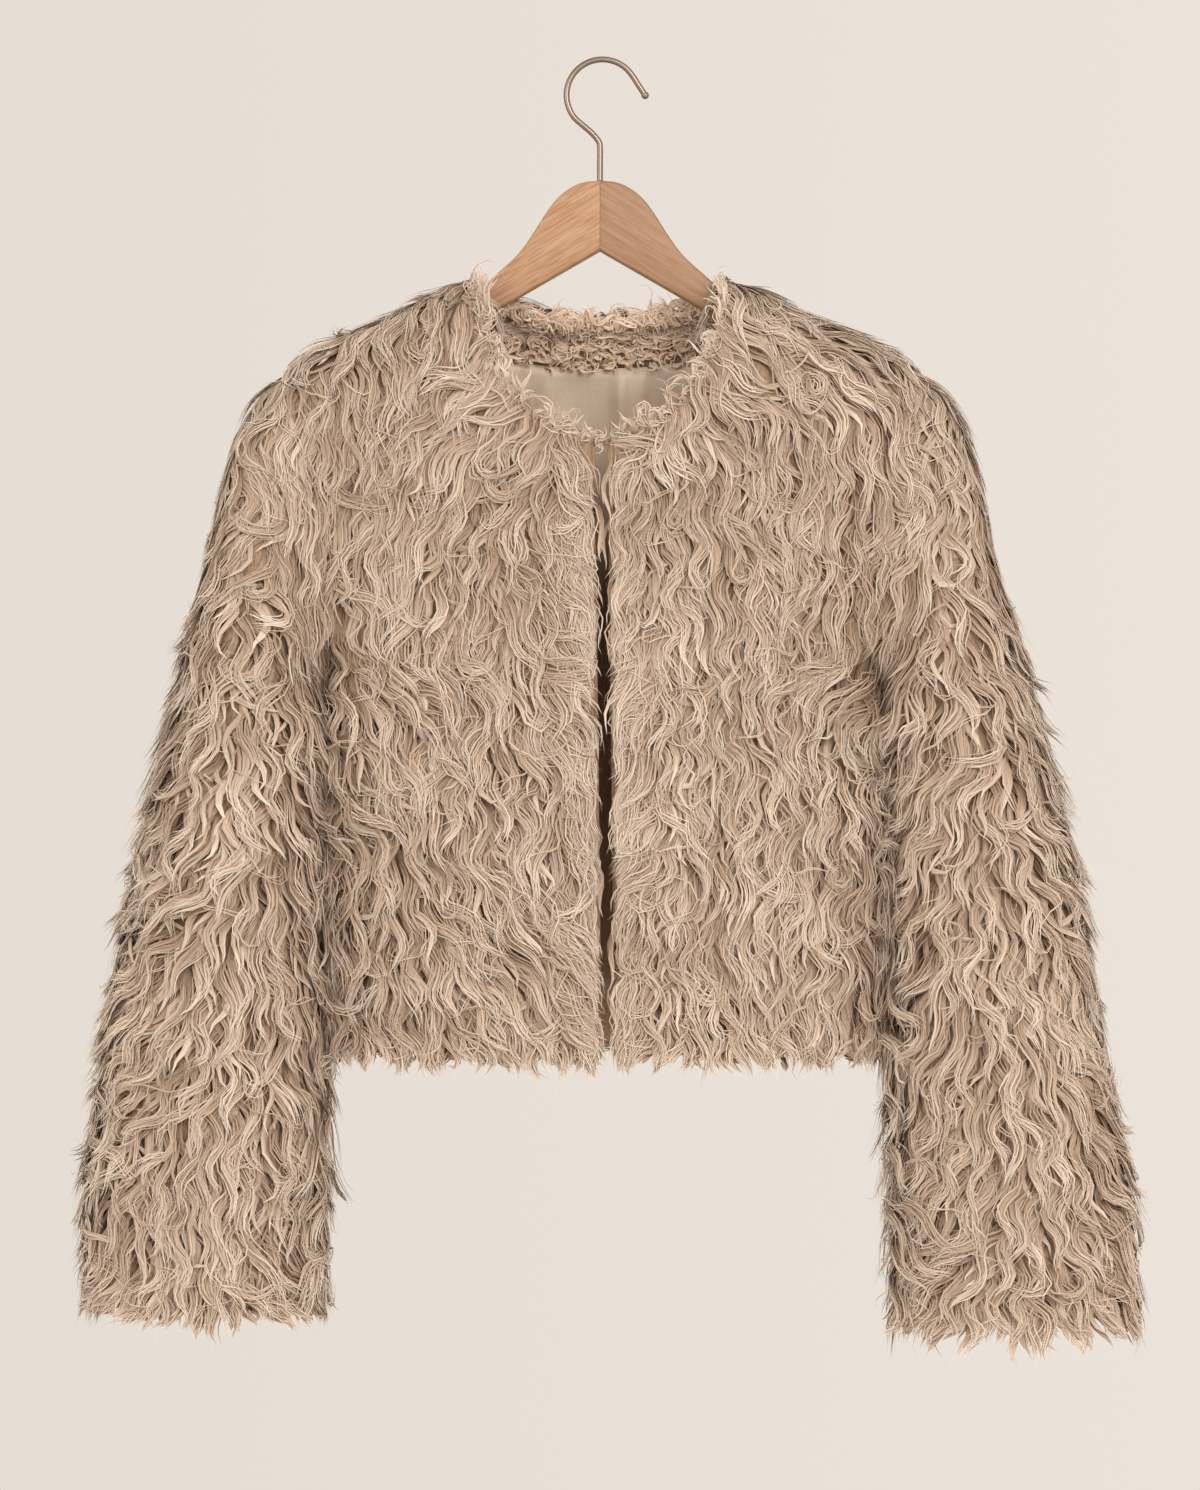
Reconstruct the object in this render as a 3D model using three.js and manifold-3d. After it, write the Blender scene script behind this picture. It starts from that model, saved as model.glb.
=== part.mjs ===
// A cropped, collarless coat of long wavy faux fur, hung on a wooden hanger.
//
// Millimetres, +Z up. The front faces -Y and the viewer's right is +X. The origin is the point
// inside the top of the hook, where a rail carries the hanger.
//
// Each cloth piece is a wall: its inner points lie on the backing cloth and its outer points at the
// tips of the pile. The backing is worked out from the sections and edges named below.

import * as THREE from 'three';
import { mergeVertices } from 'three/addons/utils/BufferGeometryUtils.js';
import Module from 'manifold-3d';

// Coat: heights of the backing's edges
const HEM_Z = -632;
const UNDERARM_Z = -385;
const FRONT_NECK_Z = -246;
const BACK_NECK_Z = -163;

// Coat: neck and shoulder
const NECK_HALF = 80;
const NECK_POINT = { y: 2, z: -142.5 };
const BACK_NECK_Y = 34;
const FRONT_NECK_Y = -50;
const SHOULDER_POINT = { x: 183, y: 0, z: -194.8 };
const SHOULDER_SAG = 0.21;

// Coat: armhole, from the underarm point up to the shoulder point
const UNDERARM = { x: 168, y: 8 };
const ARMHOLE_FRONT_BULGE = 46;
const ARMHOLE_BACK_BULGE = 50;

// Coat: how it hangs
const FRONT_GAP = 8;
const LEAN = 0.011;
const LEAN_FROM_Z = -170;
const SEAM_GAP = 0.3;
const BODY_SEAM_PULL = SEAM_GAP / 2;
const SLEEVE_SEAM_PULL = 0.4;

// Horizontal sections of the body below the underarm, on the backing.
// slant is how much narrower the front is than the side seam.
const BODY_SECTIONS = [
  { z: -632, halfWidth: 188, sideY: 40, frontY: -45, backY: 84, slant: 0.16 },
  { z: -560, halfWidth: 186, sideY: 37, frontY: -47, backY: 87, slant: 0.16 },
  { z: -480, halfWidth: 179, sideY: 26, frontY: -48, backY: 87, slant: 0.13 },
  { z: -430, halfWidth: 172, sideY: 16, frontY: -47, backY: 84, slant: 0.09 },
  { z: -385, halfWidth: 168, sideY: 8, frontY: -46, backY: 80, slant: 0.06 },
];
const FRONT_SQUARENESS = 4;
const BACK_SQUARENESS = 2.6;

// Sections of the sleeve, from the armhole to the cuff, on the backing. The outer point is on the
// overarm line, the inner point on the underarm line, and halfDepth is the reach front and back.
const SLEEVE_SECTIONS = [
  { outerX: 183, outerZ: -194.8, innerX: 168, innerZ: -385, centreY: 6, halfDepth: 49 },
  { outerX: 216, outerZ: -221, innerX: 190, innerZ: -397, centreY: 3, halfDepth: 52 },
  { outerX: 234, outerZ: -268, innerX: 195, innerZ: -412, centreY: -1, halfDepth: 55 },
  { outerX: 243, outerZ: -322, innerX: 193, innerZ: -437, centreY: -6, halfDepth: 57 },
  { outerX: 257, outerZ: -395, innerX: 193, innerZ: -474, centreY: -12, halfDepth: 57 },
  { outerX: 276, outerZ: -478, innerX: 194, innerZ: -528, centreY: -19, halfDepth: 55 },
  { outerX: 294, outerZ: -565, innerX: 195, innerZ: -594, centreY: -25, halfDepth: 52 },
  { outerX: 308, outerZ: -650, innerX: 196, innerZ: -664, centreY: -30, halfDepth: 49 },
  { outerX: 318, outerZ: -724, innerX: 196, innerZ: -730, centreY: -33, halfDepth: 46 },
  { outerX: 320, outerZ: -790, innerX: 196, innerZ: -790, centreY: -34, halfDepth: 44 },
];

// Pile: the distance from backing to tips, square to the cloth
const PILE = 17;
const PILE_AT_EDGE = 0.5;
const PILE_ON_SHOULDER = 13;
const PILE_AT_NECK = 8;
const PILE_UNDERARM = 3.5;
const PILE_BESIDE_BODY = 9.6;
const PILE_FREED_BELOW = 1.6;
const PILE_IN_FOLD = 0.3;
const LOCK_RELIEF = 2.2;
const LOCK_SPACING = 20;
const HEM_FALL = 11;
const HEM_TIP = 7;
const NECK_RISE = 4;
const FACING_PILE = 6;
const LINING_THICKNESS = 1.2;

// Grid: cells of each piece
const FRONT_COLUMNS = 12;
const NECK_COLUMNS = 6;
const BACK_HALF_COLUMNS = 10;
const BACK_NECK_COLUMNS = 5;
const LOWER_ROWS = 10;
const UPPER_ROWS = 13;
const FACING_ROWS = 3;
const LINING_HALF_COLUMNS = 6;
const LINING_FIRST_ROW = 1;
const SLEEVE_RINGS = 17;

// Hanger
const HANGER_THICKNESS = 12;
const HANGER_BEVEL = 2.5;
const HANGER_TIP_X = 188;
const MITRE_GAP = 0.3;
const HANGER_NOTCH_Z = -121;
const HANGER_UNDER_SLOPE = 0.575;
const HANGER_TIP_DROP = 12;
// The top edge of one arm
const HANGER_TOP = [
  { x: 0, z: -76 },
  { x: 12, z: -77.5 },
  { x: 23, z: -83.5 },
  { x: 32, z: -93 },
  { x: 43, z: -110 },
  { x: 52, z: -122.5 },
  { x: 64, z: -133.8 },
  { x: 84, z: -149.8 },
  { x: 120, z: -168.2 },
  { x: 160, z: -187.3 },
  { x: 180, z: -196.6 },
];
const HANGER_UNDER_END = { x: 170, z: -211 };

// Hook
const WIRE = 3.9;
const WIRE_SIDES = 8;
const HOOK_RADIUS = 22.9;
const HOOK_CENTRE_X = 1.5;
const HOOK_OPEN_ANGLE = 33;
const HOOK_LOWER_ANGLE = 222;
const HOOK_TIP_LENGTH = 15;
const SHANK_TOP_Z = -51;
const HOOK_STEPS = 36;
const TIP_RADIUS = 2.5;

const COLOURS = {
  fur: 0xc0a78f,
  facing: 0xb39a84,
  lining: 0xbba692,
  wood: 0xcba27c,
  hook: 0xa08a6c,
};

const lerp = THREE.MathUtils.lerp;
const clamp = THREE.MathUtils.clamp;
const smooth = THREE.MathUtils.smoothstep;

// The value of one column of a table at s, where whole numbers are rows: a curve through the rows.
function columnAt(table, name, s) {
  const last = table.length - 1;
  const row = clamp(Math.floor(s), 0, last - 1);
  const value = (i) => table[clamp(i, 0, last)][name];
  const f = s - row;
  const before = value(row - 1);
  const a = value(row);
  const b = value(row + 1);
  const after = value(row + 2);
  const slopeA = (b - before) / 2;
  const slopeB = (after - a) / 2;
  const f2 = f * f;
  const f3 = f2 * f;
  const fromPoints = a * (2 * f3 - 3 * f2 + 1) + b * (3 * f2 - 2 * f3);
  const fromSlopes = slopeA * (f3 - 2 * f2 + f) + slopeB * (f3 - f2);
  return fromPoints + fromSlopes;
}

// Where height z lies between the rows of a table that has a column z.
function rowOfHeight(table, z) {
  let i = 0;
  while (i < table.length - 2 && z > table[i + 1].z) {
    i += 1;
  }
  return i + (z - table[i].z) / (table[i + 1].z - table[i].z);
}

// A quarter of a squared-off circle: u runs from the middle of the front (0) to the side (1).
function squaredQuarter(u, squareness) {
  const angle = (u * Math.PI) / 2;
  const across = Math.sin(angle);
  const out = Math.cos(angle);
  const size = (across ** squareness + out ** squareness) ** (1 / squareness);
  return { across: across / size, out: out / size };
}

// The top edge of the front: a quarter ellipse along the neck, then the shoulder seam.
function frontTop(u) {
  const neckEnd = NECK_COLUMNS / FRONT_COLUMNS;
  if (u < neckEnd) {
    const angle = ((u / neckEnd) ** 0.8 * Math.PI) / 2;
    const rise = 1 - Math.cos(angle);
    const overHanger = 1 - Math.sqrt(Math.max(0, 1 - rise ** 2.5));
    return new THREE.Vector3(
      NECK_HALF * Math.sin(angle),
      lerp(FRONT_NECK_Y, NECK_POINT.y, overHanger),
      lerp(FRONT_NECK_Z, NECK_POINT.z, rise),
    );
  }
  return shoulderSeam((u - neckEnd) / (1 - neckEnd));
}

// The top edge of the back: the shallow back neck, then the shoulder seam.
function backTop(u) {
  const neckEnd = BACK_NECK_COLUMNS / BACK_HALF_COLUMNS;
  if (u < neckEnd) {
    const angle = ((u / neckEnd) * Math.PI) / 2;
    return new THREE.Vector3(
      NECK_HALF * Math.sin(angle),
      lerp(NECK_POINT.y, BACK_NECK_Y, Math.cos(angle)),
      lerp(NECK_POINT.z, BACK_NECK_Z, Math.cos(angle)),
    );
  }
  return shoulderSeam((u - neckEnd) / (1 - neckEnd));
}

// The shoulder seam, from the neck point to the shoulder point, lies along the hanger's top edge.
function shoulderSeam(s) {
  const x = lerp(NECK_HALF, SHOULDER_POINT.x, s);
  const y = lerp(NECK_POINT.y, SHOULDER_POINT.y, s);
  const eased = s + SHOULDER_SAG * s * (1 - s);
  return new THREE.Vector3(x, y, lerp(NECK_POINT.z, SHOULDER_POINT.z, eased));
}

// A point of the backing, on the wearer-less coat's right half. facing is -1 on the front and +1 on
// the back, u runs from the centre to the side seam, and level is { z } below the underarm or { t },
// 0 at the underarm and 1 at the top edge.
function bodyPoint(facing, u, level) {
  const front = facing < 0;
  const quarter = squaredQuarter(u, front ? FRONT_SQUARENESS : BACK_SQUARENESS);
  if (level.t === undefined) {
    const s = rowOfHeight(BODY_SECTIONS, level.z);
    const at = (name) => columnAt(BODY_SECTIONS, name, s);
    const slant = front ? 1 - at('slant') * quarter.out : 1;
    const outY = front ? at('frontY') : at('backY');
    return new THREE.Vector3(
      at('halfWidth') * quarter.across * slant,
      lerp(at('sideY'), outY, quarter.out),
      level.z,
    );
  }
  const t = level.t;
  const underarm = BODY_SECTIONS[BODY_SECTIONS.length - 1];
  const bulge = front ? ARMHOLE_FRONT_BULGE : ARMHOLE_BACK_BULGE;
  const sideX = lerp(UNDERARM.x, SHOULDER_POINT.x, t * t);
  const sideY = lerp(UNDERARM.y, SHOULDER_POINT.y, t) + facing * bulge * 2 * Math.sqrt(t * (1 - t));
  const outY = front ? lerp(underarm.frontY, FRONT_NECK_Y, t) : underarm.backY;
  const top = front ? frontTop(u) : backTop(u);
  const slant = front ? 1 - underarm.slant * (1 - t) * quarter.out : 1;
  const roundOver = (1 - Math.sqrt(1 - t ** 2.2)) ** (1 + 3 * u ** 4);
  return new THREE.Vector3(
    lerp(sideX * quarter.across * slant, top.x, t * t),
    lerp(lerp(sideY, outY, quarter.out), top.y, roundOver),
    lerp(UNDERARM_Z, top.z, t),
  );
}

// The rows of a body piece, from the hem to the top edge, closer at the underarm and the shoulder.
function bodyLevels() {
  const levels = [];
  for (let j = 0; j < LOWER_ROWS; j += 1) {
    const s = j / LOWER_ROWS;
    levels.push({ z: lerp(HEM_Z, UNDERARM_Z, s * (1.25 - 0.25 * s)) });
  }
  for (let k = 0; k <= UPPER_ROWS; k += 1) {
    levels.push({ t: (1 - Math.cos((Math.PI * k) / UPPER_ROWS)) / 2 });
  }
  return levels;
}

// The coat hangs a little to one side: each point moves across as it gets lower.
function leaned(point) {
  return point.set(point.x + LEAN * (LEAN_FROM_Z - point.z), point.y, point.z);
}

// The front's backing as rows of points, from the front edge to the side seam. side is -1 or +1.
function frontGrid(side) {
  const neckEnd = NECK_COLUMNS / FRONT_COLUMNS;
  return bodyLevels().map((level) => {
    const row = [];
    for (let i = 0; i <= FRONT_COLUMNS; i += 1) {
      const u = i / FRONT_COLUMNS;
      const p = bodyPoint(-1, u, level);
      p.x += (FRONT_GAP / 2) * Math.max(0, 1 - u / neckEnd) ** 2;
      p.x *= side;
      row.push(leaned(p));
    }
    return row;
  });
}

// The back's backing as rows of points, from one side seam to the other.
function backGrid() {
  return bodyLevels().map((level) => {
    const row = [];
    for (let i = -BACK_HALF_COLUMNS; i <= BACK_HALF_COLUMNS; i += 1) {
      const p = bodyPoint(1, Math.abs(i) / BACK_HALF_COLUMNS, level);
      p.x *= Math.sign(i);
      row.push(leaned(p));
    }
    return row;
  });
}

// The sleeve's backing as rings, the first one on the armhole of the body pieces. Each ring starts
// at the overarm line and runs down the front to the underarm line and up the back.
function sleeveGrid(side) {
  const around = 2 * UPPER_ROWS;
  const levels = bodyLevels().slice(LOWER_ROWS);
  const armhole = [];
  for (let k = 0; k < around; k += 1) {
    const facing = k <= UPPER_ROWS ? -1 : 1;
    const level = facing < 0 ? levels[UPPER_ROWS - k] : levels[k - UPPER_ROWS];
    armhole.push(bodyPoint(facing, 1, level));
  }
  const sectionPoint = (s, k) => {
    const at = (name) => columnAt(SLEEVE_SECTIONS, name, s);
    const angle = (2 * Math.PI * k) / around;
    const toOuter = (1 + Math.cos(angle)) / 2;
    return new THREE.Vector3(
      lerp(at('innerX'), at('outerX'), toOuter),
      at('centreY') - at('halfDepth') * Math.sin(angle),
      lerp(at('innerZ'), at('outerZ'), toOuter),
    );
  };
  const rings = [];
  for (let r = 0; r <= SLEEVE_RINGS; r += 1) {
    const s = (r / SLEEVE_RINGS) * (SLEEVE_SECTIONS.length - 1);
    const keepArmhole = (1 - smooth(s, 0, 3)) ** 2;
    const ring = [];
    for (let k = 0; k < around; k += 1) {
      const p = sectionPoint(s, k);
      p.addScaledVector(armhole[k], keepArmhole).addScaledVector(sectionPoint(0, k), -keepArmhole);
      p.x *= side;
      ring.push(leaned(p));
    }
    rings.push(ring);
  }
  return rings;
}

// The pile's length at a point of the backing: shorter on the shoulder, at the neck, and where the
// sleeve and the side of the body press against each other.
function pileAt(point) {
  const x = Math.abs(point.x - LEAN * (LEAN_FROM_Z - point.z));
  const onShoulder = smooth(point.z, -260, -200);
  const atNeck = smooth(point.z, -200, -160) * (1 - smooth(x, NECK_HALF, NECK_HALF + 45));
  const inFold = smooth(point.z, -440, -400);
  const reach = lerp(30, 58, inFold);
  const beside = 1 - smooth(Math.abs(point.y - 4), reach, reach + 30);
  const between = smooth(x, 140, 162) * (1 - smooth(x, 197, 222)) * beside;
  const squeezed = between * (1 - smooth(point.z, -340, -260));
  const pressed = lerp(PILE_UNDERARM, PILE_BESIDE_BODY, smooth(-point.z, 385, 420));
  const underarm = pressed + PILE_FREED_BELOW * smooth(-point.z, 470, 630);
  const open = lerp(lerp(PILE, PILE_ON_SHOULDER, onShoulder), PILE_AT_NECK, atNeck);
  return lerp(open, underarm, squeezed);
}

const keyOf = (p) => `${Math.round(p.x * 20)},${Math.round(p.y * 20)},${Math.round(p.z * 20)}`;

// Adds each grid cell's normal to its four points. Points that pieces share at a seam share their
// normal too, so the pile stands the same way on both sides of the seam.
function addNormals(normals, grid, closed, outwardSign) {
  const columns = grid[0].length;
  for (let j = 0; j + 1 < grid.length; j += 1) {
    for (let i = 0; i < (closed ? columns : columns - 1); i += 1) {
      const next = (i + 1) % columns;
      const corners = [grid[j][i], grid[j][next], grid[j + 1][next], grid[j + 1][i]];
      const one = corners[2].clone().sub(corners[0]);
      const two = corners[3].clone().sub(corners[1]);
      const normal = one.cross(two).normalize().multiplyScalar(outwardSign);
      corners.forEach((corner) => {
        const key = keyOf(corner);
        if (!normals.has(key)) {
          normals.set(key, new THREE.Vector3());
        }
        normals.get(key).add(normal);
      });
    }
  }
}

// The pile's share beside the lower armhole, where the sleeve folds down over the body.
function foldShare(kind, i, j, lastColumn, p) {
  const besideArmhole = kind === 'back' ? i === 1 || i === lastColumn - 1 : i === lastColumn - 1;
  if (kind === 'sleeve' || !besideArmhole || j < LOWER_ROWS) {
    return 1;
  }
  return lerp(PILE_IN_FOLD, 1, smooth(p.z, -330, -270));
}

// Whether a column and row lie on a body piece's hem, neck edge or front edge.
function edgeOf(kind, i, j, lastRow) {
  if (kind === 'sleeve') {
    return { fall: j === lastRow, neck: false, front: false };
  }
  const fromCentre = kind === 'back' ? Math.abs(i - BACK_HALF_COLUMNS) : i;
  const neckColumns = kind === 'back' ? BACK_NECK_COLUMNS : NECK_COLUMNS;
  return {
    fall: j === 0,
    neck: j === lastRow && fromCentre <= neckColumns,
    front: kind === 'front' && i === 0,
  };
}

// How much of the relief fits where rows lie close together.
function roomForLock(grid, j, i) {
  const above = grid[Math.min(j + 1, grid.length - 1)][i];
  const below = grid[Math.max(j - 1, 0)][i];
  const p = grid[j][i];
  const room = Math.min(j === 0 ? Infinity : p.distanceTo(below), p.distanceTo(above) || Infinity);
  return clamp(room / LOCK_SPACING, 0, 1) ** 2;
}

// The outer points of a wall: the backing's points moved out by the pile's length. The pile falls
// past the hem and cuff in uneven tips, rises at the neck, and stands in staggered locks between.
function pileGrid(grid, kind, normals) {
  const lastRow = grid.length - 1;
  const lastColumn = grid[0].length - 1;
  const around = kind === 'sleeve';
  return grid.map((row, j) => row.map((p, i) => {
    const edge = edgeOf(kind, i, j, lastRow);
    const onSeam = around ? j === 0 : i === 0 || i === lastColumn || j === lastRow;
    const normal = normals.get(keyOf(p)).clone().normalize();
    const lock = (i + j) % 2 === 0 ? LOCK_RELIEF : -LOCK_RELIEF;
    const pile = pileAt(p) * foldShare(kind, i, j, lastColumn, p);
    const relief = onSeam || pile < 12 ? 0 : lock * roomForLock(grid, j, i);
    const short = edge.fall || edge.neck || edge.front ? PILE_AT_EDGE : 1;
    const out = p.clone().addScaledVector(normal, pile * short + relief * short);
    if (edge.fall) {
      out.z -= HEM_FALL + (i % 2 === 0 ? HEM_TIP : 0);
    }
    if (edge.neck) {
      out.z += NECK_RISE;
    }
    return out;
  }));
}

// Pulls the edges of a grid in by a distance, towards their neighbours. The sleeve's edge is pulled
// further, because it turns back on the body in the underarm fold.
function pulledIn(grid, edges, distance) {
  const lastRow = grid.length - 1;
  const lastColumn = grid[0].length - 1;
  const result = grid.map((row) => row.map((p) => p.clone()));
  const pull = (j, i, towardsJ, towardsI) => {
    const step = grid[towardsJ][towardsI].clone().sub(grid[j][i]).setLength(distance);
    result[j][i].add(step);
  };
  for (let j = 0; j <= lastRow; j += 1) {
    if (edges.includes('first column')) {
      pull(j, 0, j, 1);
    }
    if (edges.includes('last column')) {
      pull(j, lastColumn, j, lastColumn - 1);
    }
  }
  for (let i = 0; i <= lastColumn; i += 1) {
    if (edges.includes('first row')) {
      pull(0, i, 1, i);
    }
    if (edges.includes('last row')) {
      pull(lastRow, i, lastRow - 1, i);
    }
  }
  return result;
}

function signedVolume(positions, indices) {
  const [a, b, c] = [new THREE.Vector3(), new THREE.Vector3(), new THREE.Vector3()];
  let volume = 0;
  for (let k = 0; k < indices.length; k += 3) {
    a.fromArray(positions, 3 * indices[k]);
    b.fromArray(positions, 3 * indices[k + 1]);
    c.fromArray(positions, 3 * indices[k + 2]);
    volume += a.dot(b.cross(c)) / 6;
  }
  return volume;
}

// A closed wall between two grids of the same size. closed joins the last column to the first. A cell
// of a face is split along its shorter diagonal. A cell of an edge is split from its lower inner
// point, so two pieces split the seam that they share alike.
function wall(inner, outer, closed) {
  const rows = inner.length;
  const columns = inner[0].length;
  const points = [...inner.flat(), ...outer.flat()];
  const positions = points.flatMap((p) => [p.x, p.y, p.z]);
  const indices = [];
  const quad = (a, b, c, d) => {
    if (points[a].distanceTo(points[c]) < points[b].distanceTo(points[d])) {
      indices.push(a, b, c, a, c, d);
    } else {
      indices.push(b, c, d, b, d, a);
    }
  };
  const edgeQuad = (a, b, c, d) => {
    if (points[a].z < points[b].z) {
      indices.push(a, b, c, a, c, d);
    } else {
      indices.push(b, c, d, b, d, a);
    }
  };
  const inside = (j, i) => j * columns + (i % columns);
  const outside = (j, i) => rows * columns + inside(j, i);
  const cellColumns = closed ? columns : columns - 1;
  for (let j = 0; j + 1 < rows; j += 1) {
    for (let i = 0; i < cellColumns; i += 1) {
      quad(outside(j, i), outside(j, i + 1), outside(j + 1, i + 1), outside(j + 1, i));
      quad(inside(j, i), inside(j + 1, i), inside(j + 1, i + 1), inside(j, i + 1));
    }
  }
  const lastRow = rows - 1;
  for (let i = 0; i < cellColumns; i += 1) {
    edgeQuad(inside(0, i), inside(0, i + 1), outside(0, i + 1), outside(0, i));
    edgeQuad(inside(lastRow, i + 1), inside(lastRow, i), outside(lastRow, i), outside(lastRow, i + 1));
  }
  if (!closed) {
    const last = columns - 1;
    for (let j = 0; j + 1 < rows; j += 1) {
      edgeQuad(inside(j + 1, 0), inside(j, 0), outside(j, 0), outside(j + 1, 0));
      edgeQuad(inside(j, last), inside(j + 1, last), outside(j + 1, last), outside(j, last));
    }
  }
  if (signedVolume(positions, indices) < 0) {
    for (let k = 0; k < indices.length; k += 3) {
      [indices[k + 1], indices[k + 2]] = [indices[k + 2], indices[k + 1]];
    }
  }
  const geometry = new THREE.BufferGeometry();
  geometry.setAttribute('position', new THREE.Float32BufferAttribute(positions, 3));
  geometry.setIndex(indices);
  geometry.computeVertexNormals();
  return geometry;
}

// A wall whose seam edges stand clear of the next piece.
function seamedWall(inner, outer, edges, distance, closed) {
  return wall(pulledIn(inner, edges, distance), pulledIn(outer, edges, distance), closed);
}

// A thin layer that lies inside the back: its points are the back's own, moved in by two distances.
function layerInside(grid, normals, near, far) {
  const moved = (distanceAt) => grid.map((row, j) => row.map((p, i) => {
    const normal = normals.get(keyOf(p)).clone().normalize();
    return p.clone().addScaledVector(normal, -distanceAt(j, i));
  }));
  return wall(moved(far), moved(near), false);
}

// The facing inside the back neck: the top rows of the back, as far as the neck points.
function facingGeometry(back, normals) {
  const firstRow = LOWER_ROWS + UPPER_ROWS - FACING_ROWS;
  const from = BACK_HALF_COLUMNS - BACK_NECK_COLUMNS + 1;
  const to = BACK_HALF_COLUMNS + BACK_NECK_COLUMNS - 1;
  const grid = back.slice(firstRow).map((row) => row.slice(from, to + 1));
  const lastRow = grid.length - 1;
  const lastColumn = to - from;
  const depth = (j, i) => {
    const onEdge = j === 0 || j === lastRow || i === 0 || i === lastColumn;
    return SEAM_GAP + (onEdge ? FACING_PILE / 2 : FACING_PILE);
  };
  return layerInside(grid, normals, () => SEAM_GAP, depth);
}

// The back lining, from just above the hem to the facing, as wide as the neck and front gap show.
function liningGeometry(back, normals) {
  const lastRow = LOWER_ROWS + UPPER_ROWS - FACING_ROWS;
  const from = BACK_HALF_COLUMNS - LINING_HALF_COLUMNS;
  const to = BACK_HALF_COLUMNS + LINING_HALF_COLUMNS;
  const grid = back.slice(LINING_FIRST_ROW, lastRow + 1).map((row) => row.slice(from, to + 1));
  const top = grid.length - 1;
  grid[top] = grid[top].map((p, i) => {
    const lowered = grid[top - 1][i].clone().sub(p).setLength(SEAM_GAP).add(p);
    normals.set(keyOf(lowered), normals.get(keyOf(p)));
    return lowered;
  });
  return layerInside(grid, normals, () => SEAM_GAP, () => SEAM_GAP + LINING_THICKNESS);
}

const wasm = await Module();
wasm.setup();

function solidOf(geometry) {
  const plain = geometry.clone();
  plain.deleteAttribute('normal');
  plain.deleteAttribute('uv');
  const merged = mergeVertices(plain, 1e-4);
  return new wasm.Manifold(new wasm.Mesh({
    numProp: 3,
    vertProperties: new Float32Array(merged.attributes.position.array),
    triVerts: new Uint32Array(merged.index.array),
  }));
}

function geometryOf(solid) {
  const mesh = solid.getMesh();
  const geometry = new THREE.BufferGeometry();
  geometry.setAttribute('position', new THREE.BufferAttribute(new Float32Array(mesh.vertProperties), 3));
  geometry.setIndex(new THREE.BufferAttribute(new Uint32Array(mesh.triVerts), 1));
  geometry.computeVertexNormals();
  return geometry;
}

// The whole hanger, both arms, before the mitre cut: a flat board with eased edges.
function hangerBoard() {
  const top = HANGER_TOP.map(({ x, z }) => new THREE.Vector2(x, z));
  const tip = top[top.length - 1];
  const tipPoint = new THREE.Vector2(HANGER_TIP_X, tip.y - HANGER_TIP_DROP * 0.7);
  const underTip = new THREE.Vector2(tip.x, tip.y - HANGER_TIP_DROP * 1.35);
  const underEnd = new THREE.Vector2(HANGER_UNDER_END.x, HANGER_UNDER_END.z);
  const bend = new THREE.Vector2(110, HANGER_NOTCH_Z - HANGER_UNDER_SLOPE * 110);
  const rightTop = new THREE.SplineCurve(top).getPoints(26);
  const end = new THREE.SplineCurve([tip, tipPoint, underTip]).getPoints(6).slice(1);
  const under = new THREE.QuadraticBezierCurve(underEnd, new THREE.Vector2(142, -198), bend).getPoints(4);
  const right = [...rightTop, ...end, ...under];
  const left = right.slice(1).reverse().map((p) => new THREE.Vector2(-p.x, p.y));
  const shape = new THREE.Shape([...right, new THREE.Vector2(0, HANGER_NOTCH_Z), ...left]);
  const geometry = new THREE.ExtrudeGeometry(shape, {
    depth: HANGER_THICKNESS - 2 * HANGER_BEVEL,
    bevelEnabled: true,
    bevelThickness: HANGER_BEVEL,
    bevelSize: HANGER_BEVEL,
    bevelOffset: -HANGER_BEVEL,
    bevelSegments: 2,
    curveSegments: 1,
  });
  geometry.rotateX(Math.PI / 2);
  geometry.translate(0, HANGER_THICKNESS / 2 - HANGER_BEVEL, 0);
  return geometry;
}

// The hook: a wire that rises from the hanger, bends out, and runs over the top in an arc.
function hookPath() {
  const centre = new THREE.Vector2(HOOK_CENTRE_X, -(HOOK_RADIUS - WIRE / 2));
  const onArc = (degrees) => {
    const angle = THREE.MathUtils.degToRad(degrees);
    return new THREE.Vector3(
      centre.x + HOOK_RADIUS * Math.cos(angle),
      0,
      centre.y + HOOK_RADIUS * Math.sin(angle),
    );
  };
  const points = [
    new THREE.Vector3(0, 0, HANGER_TOP[0].z + SEAM_GAP),
    new THREE.Vector3(0, 0, (HANGER_TOP[0].z + SHANK_TOP_Z) / 2),
    new THREE.Vector3(0, 0, SHANK_TOP_Z - 3),
    new THREE.Vector3(-1.2, 0, SHANK_TOP_Z + 1),
    new THREE.Vector3(-6, 0, SHANK_TOP_Z + 6.5),
  ];
  const arcSteps = 12;
  for (let k = 0; k <= arcSteps; k += 1) {
    points.push(onArc(lerp(HOOK_LOWER_ANGLE, HOOK_OPEN_ANGLE, k / arcSteps)));
  }
  const end = onArc(HOOK_OPEN_ANGLE);
  const angle = THREE.MathUtils.degToRad(HOOK_OPEN_ANGLE);
  const along = new THREE.Vector3(Math.sin(angle), 0, -Math.cos(angle));
  points.push(end.clone().addScaledVector(along, HOOK_TIP_LENGTH / 2));
  points.push(end.clone().addScaledVector(along, HOOK_TIP_LENGTH));
  return new THREE.CatmullRomCurve3(points, false, 'centripetal');
}

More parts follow.
